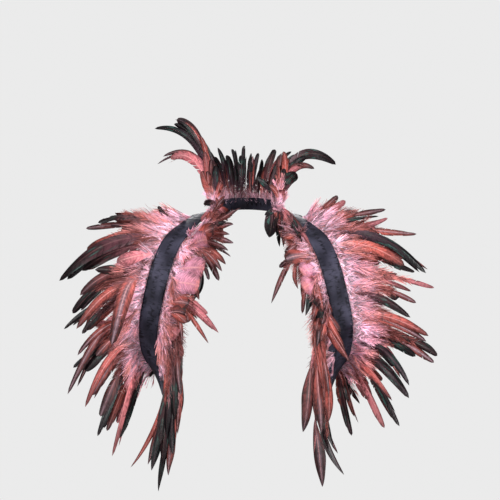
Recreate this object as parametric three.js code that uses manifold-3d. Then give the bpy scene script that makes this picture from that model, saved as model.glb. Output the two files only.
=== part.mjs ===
// A feather shoulder cape: two satin arm loops and a neck band, all edged with cock-feather fringe.
// Millimetres, +Z up. The wearer faces -Y and +X is the wearer's left. The origin is the middle of
// the neck, level with the tops of the shoulders where the arm loops rest.
import * as THREE from "three";
import { mergeVertices } from "three/addons/utils/BufferGeometryUtils.js";
import Module from "manifold-3d";

const wasm = await Module();
wasm.setup();

// Driving dimensions
const RIBBON = { width: 32, wall: 1.5, step: 0.25 };
const NECK = { across: 54, deep: 58, back: 8, wall: 1.5, height: 20, steps: 26 };
const SEAM_GAP = 0.3;
const TAPE = { width: 9, wall: 1.2 };
const TAPE_OUT = RIBBON.width / 2 + SEAM_GAP + TAPE.width / 2;
const FEATHER = { quill: 0.24, wall: 1.6, tip: 0.1, steps: 5, widest: 0.55, lead: 0.2 };

const SATIN = new THREE.MeshStandardMaterial({ color: 0x1d1e28, roughness: 0.38, metalness: 0 });
const PLUME = new THREE.MeshStandardMaterial({ color: 0xa4524c, roughness: 0.62, metalness: 0 });

// The arm loop's centre line on the wearer's left, from the top of the shoulder down the front, under
// the arm and up the back. facing and rise are the ribbon's outer face: 0 front, 90 sideways, 180 back,
// and degrees above the horizon.
const ARM_LOOP = [
  { out: 70.35, deep: 14, up: 0, facing: 90, rise: 75 },
  { out: 93, deep: -26, up: -20, facing: 24, rise: 55 },
  { out: 118, deep: -58, up: -47, facing: 12, rise: 30 },
  { out: 134, deep: -78, up: -84, facing: 8, rise: 14 },
  { out: 146, deep: -86, up: -130, facing: 8, rise: 4 },
  { out: 155, deep: -82, up: -178, facing: 16, rise: 0 },
  { out: 156, deep: -64, up: -222, facing: 34, rise: -4 },
  { out: 147, deep: -34, up: -260, facing: 60, rise: -6 },
  { out: 138, deep: 8, up: -282, facing: 90, rise: -8 },
  { out: 144, deep: 48, up: -260, facing: 122, rise: -6 },
  { out: 148, deep: 76, up: -220, facing: 148, rise: -2 },
  { out: 146, deep: 92, up: -174, facing: 164, rise: 2 },
  { out: 138, deep: 98, up: -124, facing: 172, rise: 6 },
  { out: 128, deep: 92, up: -78, facing: 174, rise: 16 },
  { out: 112, deep: 76, up: -40, facing: 168, rise: 32 },
  { out: 91, deep: 50, up: -14, facing: 150, rise: 56 },
];

// Where the shoulder feathers end. station counts rows of ARM_LOOP, out, deep and up place the tip, and
// arch is how far the feather bows upwards, as a share of its length.
const SHOULDER_FAN = {
  right: [
    { station: 0.5, out: 150, deep: 6, up: 6, arch: -0.16 },
    { station: 0.8, out: 238, deep: -8, up: -14, arch: 0.1 },
    { station: 1.3, out: 257, deep: -34, up: -40, arch: 0.08 },
    { station: 1.9, out: 297, deep: -58, up: -108, arch: 0.14 },
    { station: 2.8, out: 272, deep: -78, up: -150, arch: 0.1 },
    { station: 3.5, out: 288, deep: -84, up: -186, arch: 0.1 },
    { station: 4.2, out: 264, deep: -92, up: -216, arch: 0.12 },
    { station: 5, out: 280, deep: -88, up: -270, arch: 0.12 },
    { station: 5.7, out: 254, deep: -84, up: -312, arch: 0.14 },
    { station: 6.1, out: 234, deep: -72, up: -358, arch: 0.16 },
    { station: 6.5, out: 208, deep: -58, up: -384, arch: 0.12 },
  ],
  left: [
    { station: 0.5, out: 148, deep: 6, up: 28, arch: -0.16 },
    { station: 0.8, out: 222, deep: -8, up: 4, arch: 0.04 },
    { station: 1.3, out: 272, deep: -34, up: -32, arch: 0.04 },
    { station: 1.9, out: 290, deep: -58, up: -98, arch: 0.16 },
    { station: 2.8, out: 300, deep: -78, up: -122, arch: 0.1 },
    { station: 3.5, out: 268, deep: -84, up: -158, arch: 0.12 },
    { station: 4.2, out: 290, deep: -92, up: -198, arch: 0.08 },
    { station: 5, out: 302, deep: -88, up: -232, arch: 0.08 },
    { station: 5.7, out: 260, deep: -84, up: -290, arch: 0.16 },
    { station: 6.1, out: 246, deep: -72, up: -340, arch: 0.16 },
    { station: 6.5, out: 214, deep: -58, up: -348, arch: 0.12 },
  ],
};
const SHOULDER = { locks: 21, width: 19, shortest: 0.8, layer: 26 };
const SHOULDER_BACK = { locks: 9, width: 30, shortest: 0.78, longest: 0.96, layer: 26, mirror: 14 };

// Where the chest feathers end, from the neck to the tail that hangs below the arm.
const CHEST_FAN = {
  right: [
    { station: 1, out: 12, deep: -70, up: 2, arch: 0.06 },
    { station: 1.5, out: 28, deep: -86, up: -58, arch: 0.1 },
    { station: 2.3, out: 44, deep: -100, up: -116, arch: 0.12 },
    { station: 3.2, out: 50, deep: -110, up: -192, arch: 0.12 },
    { station: 4.2, out: 92, deep: -112, up: -206, arch: 0.1 },
    { station: 5, out: 104, deep: -112, up: -286, arch: 0.04 },
    { station: 5.8, out: 110, deep: -106, up: -384, arch: 0 },
    { station: 6.3, out: 136, deep: -96, up: -446, arch: 0 },
    { station: 6.75, out: 178, deep: -84, up: -406, arch: -0.06 },
  ],
  left: [
    { station: 1, out: 30, deep: -70, up: -30, arch: 0.1 },
    { station: 1.5, out: 52, deep: -86, up: -70, arch: 0.08 },
    { station: 2.3, out: 42, deep: -100, up: -144, arch: 0.1 },
    { station: 3.2, out: 86, deep: -110, up: -162, arch: 0.12 },
    { station: 4.2, out: 112, deep: -112, up: -212, arch: 0.1 },
    { station: 5, out: 94, deep: -112, up: -346, arch: 0.02 },
    { station: 5.8, out: 118, deep: -106, up: -436, arch: 0 },
    { station: 6.3, out: 134, deep: -96, up: -400, arch: 0 },
    { station: 6.75, out: 156, deep: -84, up: -416, arch: -0.04 },
  ],
};
const CHEST = { locks: 17, width: 16, shortest: 0.72, layer: 8 };

// Where the collar feathers end. turn goes round the neck from the wearer's left, over the back to the
// right. Each stands along the neck first and then curls away from it.
const COLLAR_FAN = [
  { turn: -14, across: 84, deep: -22, up: 60 },
  { turn: 2, across: 146, deep: -6, up: 76 },
  { turn: 24, across: 112, deep: 42, up: 96 },
  { turn: 52, across: 78, deep: 98, up: 104 },
  { turn: 90, across: 0, deep: 122, up: 112 },
  { turn: 128, across: -78, deep: 98, up: 108 },
  { turn: 156, across: -116, deep: 40, up: 150 },
  { turn: 178, across: -148, deep: 0, up: 134 },
  { turn: 194, across: -142, deep: -24, up: 80 },
];
const COLLAR = { locks: 17, width: 18, stand: 0.62, shortest: 0.84, layer: 9, tapeRise: 7 };

const GOLDEN = 0.618;
const UP = new THREE.Vector3(0, 0, 1);
const radians = THREE.MathUtils.degToRad;
const vector = (row) => new THREE.Vector3(row.out ?? row.across, row.deep, row.up);

/** A repeatable spread of values from 0 to 1, one for each lock. */
const scatter = (index) => (index * GOLDEN) % 1;

/** Skins rings of equal length into a closed solid, joined end to end if looped and capped if not. */
function loft(rings, looped) {
  const sides = rings[0].length;
  const index = [];
  const spans = looped ? rings.length : rings.length - 1;
  for (let i = 0; i < spans; i++) {
    const here = i * sides;
    const next = ((i + 1) % rings.length) * sides;
    for (let j = 0; j < sides; j++) {
      const k = (j + 1) % sides;
      index.push(here + j, next + k, next + j, here + j, here + k, next + k);
    }
  }
  const last = (rings.length - 1) * sides;
  for (let j = 1; !looped && j < sides - 1; j++) {
    index.push(0, j + 1, j, last, last + j, last + j + 1);
  }
  const geometry = new THREE.BufferGeometry().setFromPoints(rings.flat());
  return geometry.setIndex(index);
}

/** A three.js geometry as a solid that can be joined and cut. */
function solid(geometry) {
  const merged = mergeVertices(geometry, 1e-3);
  return new wasm.Manifold(
    new wasm.Mesh({
      numProp: 3,
      vertProperties: merged.attributes.position.array,
      triVerts: new Uint32Array(merged.index.array),
    }),
  );
}

/** Joins geometries into one body, trims it clear of its neighbour and gives it back as a geometry. */
function fuse(geometries, neighbour) {
  const whole = geometries.map(solid).reduce((body, piece) => body.add(piece));
  const joined = whole.subtract(solid(neighbour)).getMesh();
  return new THREE.BufferGeometry()
    .setAttribute("position", new THREE.BufferAttribute(joined.vertProperties, 3))
    .setIndex(new THREE.BufferAttribute(joined.triVerts, 1));
}

/** The flat section of a ribbon or tape, centred at a place. */
function strap(place, face, across, width, wall) {
  const corner = (side, out) =>
    place
      .clone()
      .addScaledVector(across, (side * width) / 2)
      .addScaledVector(face, (out * wall) / 2);
  return [corner(-1, -1), corner(1, -1), corner(1, 1), corner(-1, 1)];
}

const loopLine = new THREE.CatmullRomCurve3(ARM_LOOP.map(vector), true, "centripetal");
const loopFace = new THREE.CatmullRomCurve3(
  ARM_LOOP.map(({ facing, rise }) => {
    const level = Math.cos(radians(rise));
    return new THREE.Vector3(
      Math.sin(radians(facing)) * level,
      -Math.cos(radians(facing)) * level,
      Math.sin(radians(rise)),
    );
  }),
  true,
  "catmullrom",
);

/** The arm loop at a station: its centre, the ribbon's outer face, and across, towards the arm. */
function onLoop(station) {
  const share = (((station / ARM_LOOP.length) % 1) + 1) % 1;
  const centre = loopLine.getPoint(share);
  const along = loopLine.getTangent(share);
  const face = loopFace.getPoint(share).projectOnPlane(along).normalize();
  const across = face.clone().cross(along).normalize();
  return { centre, face, across };
}

/** The neck band's middle line at an angle from the wearer's left, towards the back. */
function onNeck(turn, rise = 0) {
  const a = radians(turn);
  const behind = Math.sin(a);
  const face = new THREE.Vector3(Math.cos(a) / NECK.across, behind / NECK.deep, 0).normalize();
  const centre = new THREE.Vector3(
    NECK.across * Math.cos(a),
    NECK.back + NECK.deep * behind,
    8 + 8 * Math.abs(behind) ** 1.5 + rise,
  );
  return { centre, face, across: UP.clone() };
}

/** One feather lock: a flat blade that leads off from its root and bends towards its tip. */
function lock(root, lead, bend, tip, face, width) {
  const spine = new THREE.CubicBezierCurve3(root, lead, bend, tip);
  const rings = [];
  for (let i = 0; i <= FEATHER.steps; i++) {
    const t = i / FEATHER.steps;
    const along = spine.getTangent(t);
    const flat = face.clone().projectOnPlane(along).normalize();
    const side = flat.clone().cross(along);
    const taper =
      t < FEATHER.widest
        ? THREE.MathUtils.lerp(FEATHER.quill, 1, Math.sin((t / FEATHER.widest) * (Math.PI / 2)))
        : THREE.MathUtils.lerp(
            FEATHER.tip,
            1,
            Math.cos(((t - FEATHER.widest) / (1 - FEATHER.widest)) * (Math.PI / 2)),
          );
    const centre = spine.getPoint(t);
    const edge = side.multiplyScalar((width / 2) * taper);
    const crown = flat.multiplyScalar((FEATHER.wall / 2) * Math.max(taper, 0.4));
    rings.push([
      centre.clone().add(edge),
      centre.clone().add(crown),
      centre.clone().sub(edge),
      centre.clone().sub(crown),
    ]);
  }
  return loft(rings, false);
}

/** A fan table read between its rows, each column on a smooth line. share runs from 0 to 1. */
function fanAt(fan, share, columns) {
  const place = share * (fan.length - 1);
  const row = Math.min(Math.floor(place), fan.length - 2);
  return Object.fromEntries(
    columns.map((name) => [name, THREE.MathUtils.lerp(fan[row][name], fan[row + 1][name], place - row)]),
  );
}

/** A tape along one edge of the ribbon, from one station to another. edge is 1 by the arm, -1 inside. */
function loopTape(from, to, edge) {
  const rings = [];
  for (let station = from; station <= to; station += RIBBON.step) {
    const { centre, face, across } = onLoop(station);
    const middle = centre.addScaledVector(across, edge * TAPE_OUT);
    rings.push(strap(middle, face, across, TAPE.width, TAPE.wall));
  }
  return loft(rings, false);
}

/** A lock sewn to the tape that leads away from the ribbon's edge and arches to its tip. layer is 1 for
 * locks that stand off over the others, and 0 for those below. */
function loopLock(row, edge, fringe, reach, layer) {
  const { centre, face, across } = onLoop(row.station);
  const root = centre.clone().addScaledVector(across, edge * TAPE_OUT);
  const tip = root.clone().lerp(vector(row), reach);
  const length = root.distanceTo(tip);
  const lead = root.clone().addScaledVector(across, edge * length * FEATHER.lead);
  const bend = root.clone().lerp(tip, 0.55).addScaledVector(UP, row.arch * length);
  const standOff = layer * fringe.layer * (1 - Math.abs(face.z));
  bend.addScaledVector(face, standOff);
  tip.addScaledVector(face, standOff);
  return lock(root, lead, bend, tip, face, fringe.width);
}

/** The arm's ribbon loop, or the space round it when spare is the clearance that neighbours keep. */
function armBand(spare = 0) {
  const rings = [];
  for (let station = 0; station < ARM_LOOP.length; station += RIBBON.step) {
    const { centre, face, across } = onLoop(station);
    rings.push(strap(centre, face, across, RIBBON.width + 2 * spare, RIBBON.wall + 2 * spare));
  }
  return loft(rings, true);
}

/** The neck's ribbon, or the space round it when spare is the clearance that neighbours keep. */
function neckBand(spare = 0) {
  const first = COLLAR_FAN[0].turn - 24;
  const last = COLLAR_FAN.at(-1).turn + 20;
  const rings = [];
  for (let i = 0; i <= NECK.steps; i++) {
    const { centre, face, across } = onNeck(THREE.MathUtils.lerp(first, last, i / NECK.steps));
    rings.push(strap(centre, face, across, NECK.height + 2 * spare, NECK.wall + 2 * spare));
  }
  return loft(rings, false);
}

/** Shoulder fringe: a tape from the front of the arm, over the shoulder, to the back of the arm. */
function shoulderFringe(fan) {
  const pieces = [loopTape(-fan.at(-1).station, fan.at(-1).station, 1)];
  const columns = ["station", "out", "deep", "up", "arch"];
  for (let i = 0; i < SHOULDER.locks; i++) {
    const row = fanAt(fan, i / (SHOULDER.locks - 1), columns);
    const reach = THREE.MathUtils.lerp(SHOULDER.shortest, 1, scatter(i));
    pieces.push(loopLock(row, 1, SHOULDER, i % 2 ? reach : 1, i % 2));
  }
  for (let i = 0; i < SHOULDER_BACK.locks; i++) {
    const row = fanAt(fan, i / (SHOULDER_BACK.locks - 1), columns);
    const reach = THREE.MathUtils.lerp(SHOULDER_BACK.shortest, SHOULDER_BACK.longest, scatter(i));
    const behind = { ...row, station: -row.station, deep: SHOULDER_BACK.mirror - row.deep };
    pieces.push(loopLock(behind, 1, SHOULDER_BACK, reach, i % 2));
  }
  return fuse(pieces, armBand(SEAM_GAP));
}

/** Chest fringe: a tape down the inner edge of the arm band's front, with its tail below the arm. */
function chestFringe(fan) {
  const pieces = [loopTape(fan[0].station, fan.at(-1).station, -1)];
  const columns = ["station", "out", "deep", "up", "arch"];
  for (let i = 0; i < CHEST.locks; i++) {
    const row = fanAt(fan, i / (CHEST.locks - 1), columns);
    const reach = i % 2 ? THREE.MathUtils.lerp(CHEST.shortest, 1, scatter(i)) : 1;
    pieces.push(loopLock(row, -1, CHEST, reach, i % 2));
  }
  return fuse(pieces, armBand(SEAM_GAP));
}

/** Collar fringe: a tape round the outside of the neck band, with feathers that stand and curl out. */
function collarFringe() {
  const from = COLLAR_FAN[0].turn;
  const to = COLLAR_FAN.at(-1).turn;
  const outside = (NECK.wall + TAPE.wall) / 2 + SEAM_GAP;
  const sewn = (turn) => {
    const place = onNeck(turn, COLLAR.tapeRise);
    place.centre.addScaledVector(place.face, outside);
    return place;
  };
  const rings = [];
  for (let i = 0; i <= NECK.steps; i++) {
    const { centre, face, across } = sewn(THREE.MathUtils.lerp(from, to, i / NECK.steps));
    rings.push(strap(centre, face, across, TAPE.width, TAPE.wall));
  }
  const pieces = [loft(rings, false)];
  for (let i = 0; i < COLLAR.locks; i++) {
    const row = fanAt(COLLAR_FAN, i / (COLLAR.locks - 1), ["turn", "across", "deep", "up"]);
    const { centre, face } = sewn(row.turn);
    const reach = i % 2 ? THREE.MathUtils.lerp(COLLAR.shortest, 1, scatter(i)) : 1;
    const tip = centre.clone().lerp(vector(row), reach);
    const length = centre.distanceTo(tip);
    const layer = (i % 2) * COLLAR.layer;
    const lead = centre.clone().addScaledVector(UP, length * COLLAR.stand * 0.5);
    lead.addScaledVector(face, layer);
    const bend = centre.clone().addScaledVector(UP, length * COLLAR.stand).lerp(tip, 0.4);
    bend.addScaledVector(face, layer);
    pieces.push(lock(centre, lead, bend, tip, face, COLLAR.width));
  }
  return fuse(pieces, neckBand(SEAM_GAP));
}

function piece(name, geometry, material) {
  const mesh = new THREE.Mesh(geometry, material);
  mesh.name = name;
  return mesh;
}

/** One shoulder's pieces, laid out on the wearer's left. */
function shoulder(side) {
  const group = new THREE.Group();
  group.add(
    piece(`arm_band_${side}`, armBand(), SATIN),
    piece(`shoulder_fringe_${side}`, shoulderFringe(SHOULDER_FAN[side]), PLUME),
    piece(`chest_fringe_${side}`, chestFringe(CHEST_FAN[side]), PLUME),
  );
  return group;
}

const rightSide = shoulder("right");
rightSide.scale.x = -1;

const cape = new THREE.Group();
cape.add(
  shoulder("left"),
  rightSide,
  piece("neck_band", neckBand(), SATIN),
  piece("collar_fringe", collarFringe(), PLUME),
);

export default cape;
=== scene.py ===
"""Dresses the feather cape: puckered satin ribbons and fringes of dyed cock feathers.

Metres, +Z up. The wearer faces -Y and +X is the wearer's left. Both shoulders are laid out on the
wearer's left, and the right one is mirrored across X.
"""

from __future__ import annotations

import logging
import math
import sys
from collections import defaultdict
from collections.abc import Sequence
from dataclasses import dataclass, field
from enum import Enum
from functools import reduce

import bmesh
import bpy
import numpy as np
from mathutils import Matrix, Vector

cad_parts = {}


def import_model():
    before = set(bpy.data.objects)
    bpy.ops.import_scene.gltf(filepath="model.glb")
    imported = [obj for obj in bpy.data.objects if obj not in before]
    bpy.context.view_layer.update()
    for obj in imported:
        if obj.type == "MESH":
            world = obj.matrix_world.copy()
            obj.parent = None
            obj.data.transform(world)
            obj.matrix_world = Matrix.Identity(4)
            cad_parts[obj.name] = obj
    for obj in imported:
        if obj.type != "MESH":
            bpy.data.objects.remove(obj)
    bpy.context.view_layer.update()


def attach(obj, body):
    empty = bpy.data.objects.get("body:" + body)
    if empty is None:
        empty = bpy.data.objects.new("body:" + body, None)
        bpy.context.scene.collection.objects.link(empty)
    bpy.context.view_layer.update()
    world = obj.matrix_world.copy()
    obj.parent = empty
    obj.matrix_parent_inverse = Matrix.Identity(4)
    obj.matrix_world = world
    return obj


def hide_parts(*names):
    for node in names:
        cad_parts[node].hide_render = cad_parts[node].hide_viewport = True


log = logging.getLogger("feather_cape")

Array = np.ndarray
Material = bpy.types.Material
Object = bpy.types.Object
Rng = np.random.Generator
Socket = bpy.types.NodeSocket
Span = tuple[float, float]
Tree = bpy.types.NodeTree

MM = 0.001
UP = np.array([0.0, 0.0, 1.0])
SEED = 41
FEATHER_MAP = "FeatherUV"
BAKE_MAP = "OFBake"
RIBBON_MAP = "RibbonUV"
MARKS = "feather_marks"

VANE_CELL = (0.68, 1.0)
QUILL_CELL = (0.7, 0.74)
DOWN_CELL, DOWN_SHIFT = (0.22, 1.0), (0.77, 0.0)
CELL_MARGIN = 0.02
CELL_SHAPE = 6


class Side(Enum):
    """A shoulder of the wearer, with the factor that lays it out along X."""

    LEFT = 1.0
    RIGHT = -1.0

    @property
    def word(self) -> str:
        """The side's name as the nodes spell it."""
        return self.name.lower()


class Edge(Enum):
    """An edge of the arm band, with its direction across the ribbon."""

    ARM = 1.0
    CHEST = -1.0


class Tone(Enum):
    """A feather's colouring: its darkness (below 0 is paler), its centre stripe and dark rim."""

    BLUSH = (-0.95, 0.0, 0.5)
    ROSE = (-0.34, 0.1, 0.3)
    RUST = (0.06, 0.15, 0.6)
    STRIPED = (0.12, 0.9, 0.5)
    EDGED = (0.3, 0.6, 0.1)
    BROWN = (0.5, 0.5, 0.8)
    SLATE = (0.9, 0.1, 0.6)
    BLACK = (1.0, 0.0, 0.0)


class Kind(Enum):
    """A feather's build."""

    COQUE = "coque"
    HACKLE = "hackle"
    PETAL = "petal"
    LEAF = "leaf"
    TUFT = "tuft"
    HEM = "hem"


BLUSH, ROSE, RUST, STRIPED, EDGED, BROWN, SLATE, BLACK = Tone
COQUE, HACKLE, PETAL, LEAF, TUFT, HEM = Kind

FRINGE_SEEDS = {Side.LEFT: SEED, Side.RIGHT: SEED + 7}
BAND_SEEDS = {Side.LEFT: SEED + 11, Side.RIGHT: SEED + 13}
NECK_SEED, COLLAR_SEED = SEED + 17, SEED + 400


@dataclass(frozen=True)
class LoopRow:
    """A station of the arm loop in millimetres, with its ribbon's facing and rise in degrees."""

    out: float
    deep: float
    up: float
    facing: float
    rise: float


@dataclass(frozen=True)
class FanRow:
    """Where a fringe's feathers end, in millimetres, from a station of the arm loop."""

    station: float
    out: float
    deep: float
    up: float
    arch: float
    fluff: Tone = BLUSH


@dataclass(frozen=True)
class Lead:
    """A feather listed one by one: its root's station, its tip in millimetres, its lie and its
    width.

    The arch lifts its bend and the bow moves it away from the wearer's middle, as shares of its
    length. A feather with a high over lies on top of its neighbours.
    """

    station: float
    out: float
    up: float
    arch: float
    width: float
    tone: Tone
    over: float = 0.4
    bow: float = 0.0
    kind: Kind = COQUE


@dataclass(frozen=True)
class CollarRow:
    """Where the collar's feathers end, in millimetres, from an angle round the neck in degrees."""

    turn: float
    across: float
    deep: float
    up: float


@dataclass(frozen=True)
class CollarLead:
    """A collar feather listed one by one, in degrees round the neck and millimetres."""

    turn: float
    across: float
    deep: float
    up: float
    width: float
    tone: Tone
    stand: float

    @property
    def tip(self) -> Array:
        """Where the feather ends, in metres."""
        return MM * np.array([self.across, self.deep, self.up])


def rows(kind: type, *values: tuple) -> tuple:
    """Makes a table's rows of one class, each from its fields' values in order."""
    return tuple(kind(*row) for row in values)


ARM_ROWS = rows(
    LoopRow,
    (70.35, 14, 0, 90, 75), (93, -26, -20, 24, 55), (118, -58, -47, 12, 30),
    (134, -78, -84, 8, 14), (146, -86, -130, 8, 4), (155, -82, -178, 16, 0),
    (156, -64, -222, 34, -4), (147, -34, -260, 60, -6), (138, 8, -282, 90, -8),
    (144, 48, -260, 122, -6), (148, 76, -220, 148, -2), (146, 92, -174, 164, 2),
    (138, 98, -124, 172, 6), (128, 92, -78, 174, 16), (112, 76, -40, 168, 32),
    (91, 50, -14, 150, 56),
)

SHOULDER_FANS = {
    Side.RIGHT: rows(
        FanRow,
        (0.5, 150, 6, 6, -0.16), (1.0, 238, -8, -14, 0.1), (1.5, 257, -34, -40, 0.1, ROSE),
        (2.1, 297, -58, -108, 0.18, RUST), (3.4, 272, -78, -150, 0.2, BROWN),
        (4.0, 288, -84, -186, 0.18), (4.8, 264, -92, -216, 0.18, RUST),
        (5.5, 280, -88, -270, 0.18, ROSE), (6.2, 254, -84, -312, 0.18),
        (6.8, 234, -72, -358, 0.18), (7.2, 208, -58, -384, 0.12),
    ),
    Side.LEFT: rows(
        FanRow,
        (0.5, 148, 6, 28, -0.16), (1.0, 222, -8, 4, 0.04), (1.6, 272, -34, -32, 0.04),
        (2.2, 290, -58, -98, 0.16, RUST), (3.4, 300, -78, -122, 0.08),
        (4.1, 268, -84, -158, 0.1, ROSE), (4.8, 290, -92, -198, 0.08, RUST),
        (5.4, 302, -88, -232, 0.08), (6.3, 260, -84, -290, 0.16, RUST),
        (6.9, 246, -72, -340, 0.18), (7.3, 214, -58, -348, 0.12),
    ),
}

SHOULDER_LEADS = {
    Side.RIGHT: rows(
        Lead,
        (0.75, 143, 11, -0.25, 9, SLATE, 0.2), (1.3, 259, -26, 0.06, 11, BROWN, 0.3),
        (1.4, 239, -17, 0.2, 11, BLACK, 0.7), (1.5, 228, -41, 0.1, 9, BLACK, 0.3),
        (1.8, 256, -61, 0.14, 13, RUST, 0.3), (2.0, 277, -88, 0.16, 13, BROWN, 0.3),
        (2.1, 298, -110, 0.22, 27, BLACK, 1.7), (2.4, 262, -94, 0.16, 22, SLATE, 0.9),
        (2.7, 206, -80, 0.06, 22, ROSE, 1.9), (3.3, 240, -92, 0.0, 15, SLATE, 1.5),
        (3.4, 264, -133, 0.24, 16, BROWN, 1.2), (3.6, 276, -162, 0.26, 15, SLATE, 0.5),
        (3.8, 269, -186, 0.24, 15, RUST, 1.5), (4.1, 290, -187, 0.14, 8, BLACK, 0.2),
        (4.2, 261, -194, 0.22, 12, SLATE, 0.4), (4.3, 253, -189, 0.2, 13, RUST, 0.3),
        (3.5, 213, -211, 0.3, 25, STRIPED, 2.1), (5.0, 267, -228, 0.24, 13, STRIPED, 1.2),
        (5.6, 275, -248, 0.12, 10, BLACK, 0.3), (5.6, 256, -254, 0.16, 15, BLACK, 0.5),
        (5.2, 238, -229, 0.14, 15, RUST, 0.5), (5.0, 283, -290, 0.3, 13, BROWN, 0.9),
        (5.9, 255, -310, 0.28, 13, RUST, 1.4), (6.6, 237, -358, 0.2, 11, BLACK, 0.2),
        (6.8, 213, -389, 0.22, 13, ROSE, 1.5), (7.3, 203, -363, 0.26, 13, BLACK, 0.3),
        (6.8, 222, -350, 0.22, 12, RUST, 0.4), (6.3, 232, -326, 0.24, 17, BROWN, 0.3),
        (7.0, 206, -338, 0.24, 18, ROSE, 0.4), (6.0, 246, -292, 0.22, 17, STRIPED, 0.3),
    ),
    Side.LEFT: rows(
        Lead,
        (0.5, 149, 28, -0.08, 12, RUST, 0.2), (0.6, 162, 19, -0.06, 11, ROSE, 0.4),
        (0.9, 227, 5, 0.02, 10, BROWN, 0.3), (1.1, 215, -6, 0.05, 10, BLACK, 1.0),
        (1.3, 229, -9, -0.1, 8, ROSE, 0.6), (1.6, 275, -35, 0.02, 12, STRIPED, 0.3),
        (1.9, 288, -98, 0.24, 16, BLACK, 1.8), (2.0, 292, -92, 0.18, 12, RUST, 0.3),
        (2.3, 253, -86, 0.16, 18, RUST, 1.9), (2.7, 270, -96, 0.08, 12, SLATE, 0.4),
        (3.4, 300, -121, 0.04, 8, ROSE, 0.5), (3.9, 271, -145, 0.12, 9, STRIPED, 0.5),
        (4.1, 261, -168, 0.16, 15, SLATE, 1.4), (4.8, 289, -197, 0.12, 14, RUST, 1.6),
        (4.9, 286, -206, 0.12, 11, STRIPED, 1.3), (5.3, 304, -229, 0.12, 14, SLATE, 0.6),
        (5.4, 299, -240, 0.12, 12, STRIPED, 0.4), (5.7, 270, -230, 0.16, 13, BLACK, 0.4),
        (6.0, 259, -276, 0.36, 12, BLACK, 1.4), (6.4, 259, -296, 0.24, 17, SLATE, 1.3),
        (6.9, 245, -342, 0.3, 13, BLACK, 0.5), (6.9, 243, -341, 0.24, 9, BROWN, 0.4),
        (7.0, 221, -345, 0.22, 14, ROSE, 0.7), (6.6, 232, -300, 0.2, 16, RUST, 1.5),
        (7.5, 169, -358, 0.0, 14, SLATE, 0.8), (7.3, 180, -338, 0.04, 12, BROWN, 0.8),
        (5.2, 192, -186, 0.06, 14, BLUSH, 1.1, 0.0, TUFT),
        (5.6, 194, -204, 0.06, 14, BLUSH, 1.2, 0.0, TUFT),
        (6.0, 194, -222, 0.06, 14, BLUSH, 1.3, 0.0, TUFT),
        (6.3, 192, -240, 0.06, 14, BLUSH, 1.3, 0.0, TUFT),
        (6.6, 186, -256, 0.06, 14, BLUSH, 1.2, 0.0, TUFT),
        (6.9, 176, -270, 0.04, 14, BLUSH, 1.1, 0.0, TUFT),
    ),
}

TOP_FAN = rows(
    FanRow,
    (-0.9, 205, 44, -34, 0.12), (0.0, 185, 14, -22, 0.1), (0.9, 205, -14, -32, 0.12),
)

CHEST_FANS = {
    Side.RIGHT: rows(
        FanRow,
        (1, 12, -70, 2, 0.06, RUST), (1.5, 28, -86, -58, 0.1, BLUSH),
        (2.3, 44, -100, -116, 0.12, BLUSH), (3.2, 50, -110, -192, 0.12, BLUSH),
        (4.2, 92, -112, -206, 0.1, BROWN), (5, 104, -112, -286, 0.04, BLUSH),
        (5.8, 110, -106, -384, 0, RUST), (6.3, 136, -96, -446, 0), (6.75, 178, -84, -406, -0.06),
    ),
    Side.LEFT: rows(
        FanRow,
        (1, 30, -70, -30, 0.1, BROWN), (1.5, 52, -86, -70, 0.08, BROWN),
        (2.5, 42, -100, -144, 0.1, ROSE), (3.2, 86, -110, -162, 0.12, BLUSH),
        (4.2, 112, -112, -212, 0.1, BROWN), (5, 94, -112, -346, 0.02, RUST),
        (5.8, 118, -106, -436, 0, RUST), (6.3, 134, -96, -400, 0), (6.75, 156, -84, -416, -0.04),
    ),
}

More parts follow.
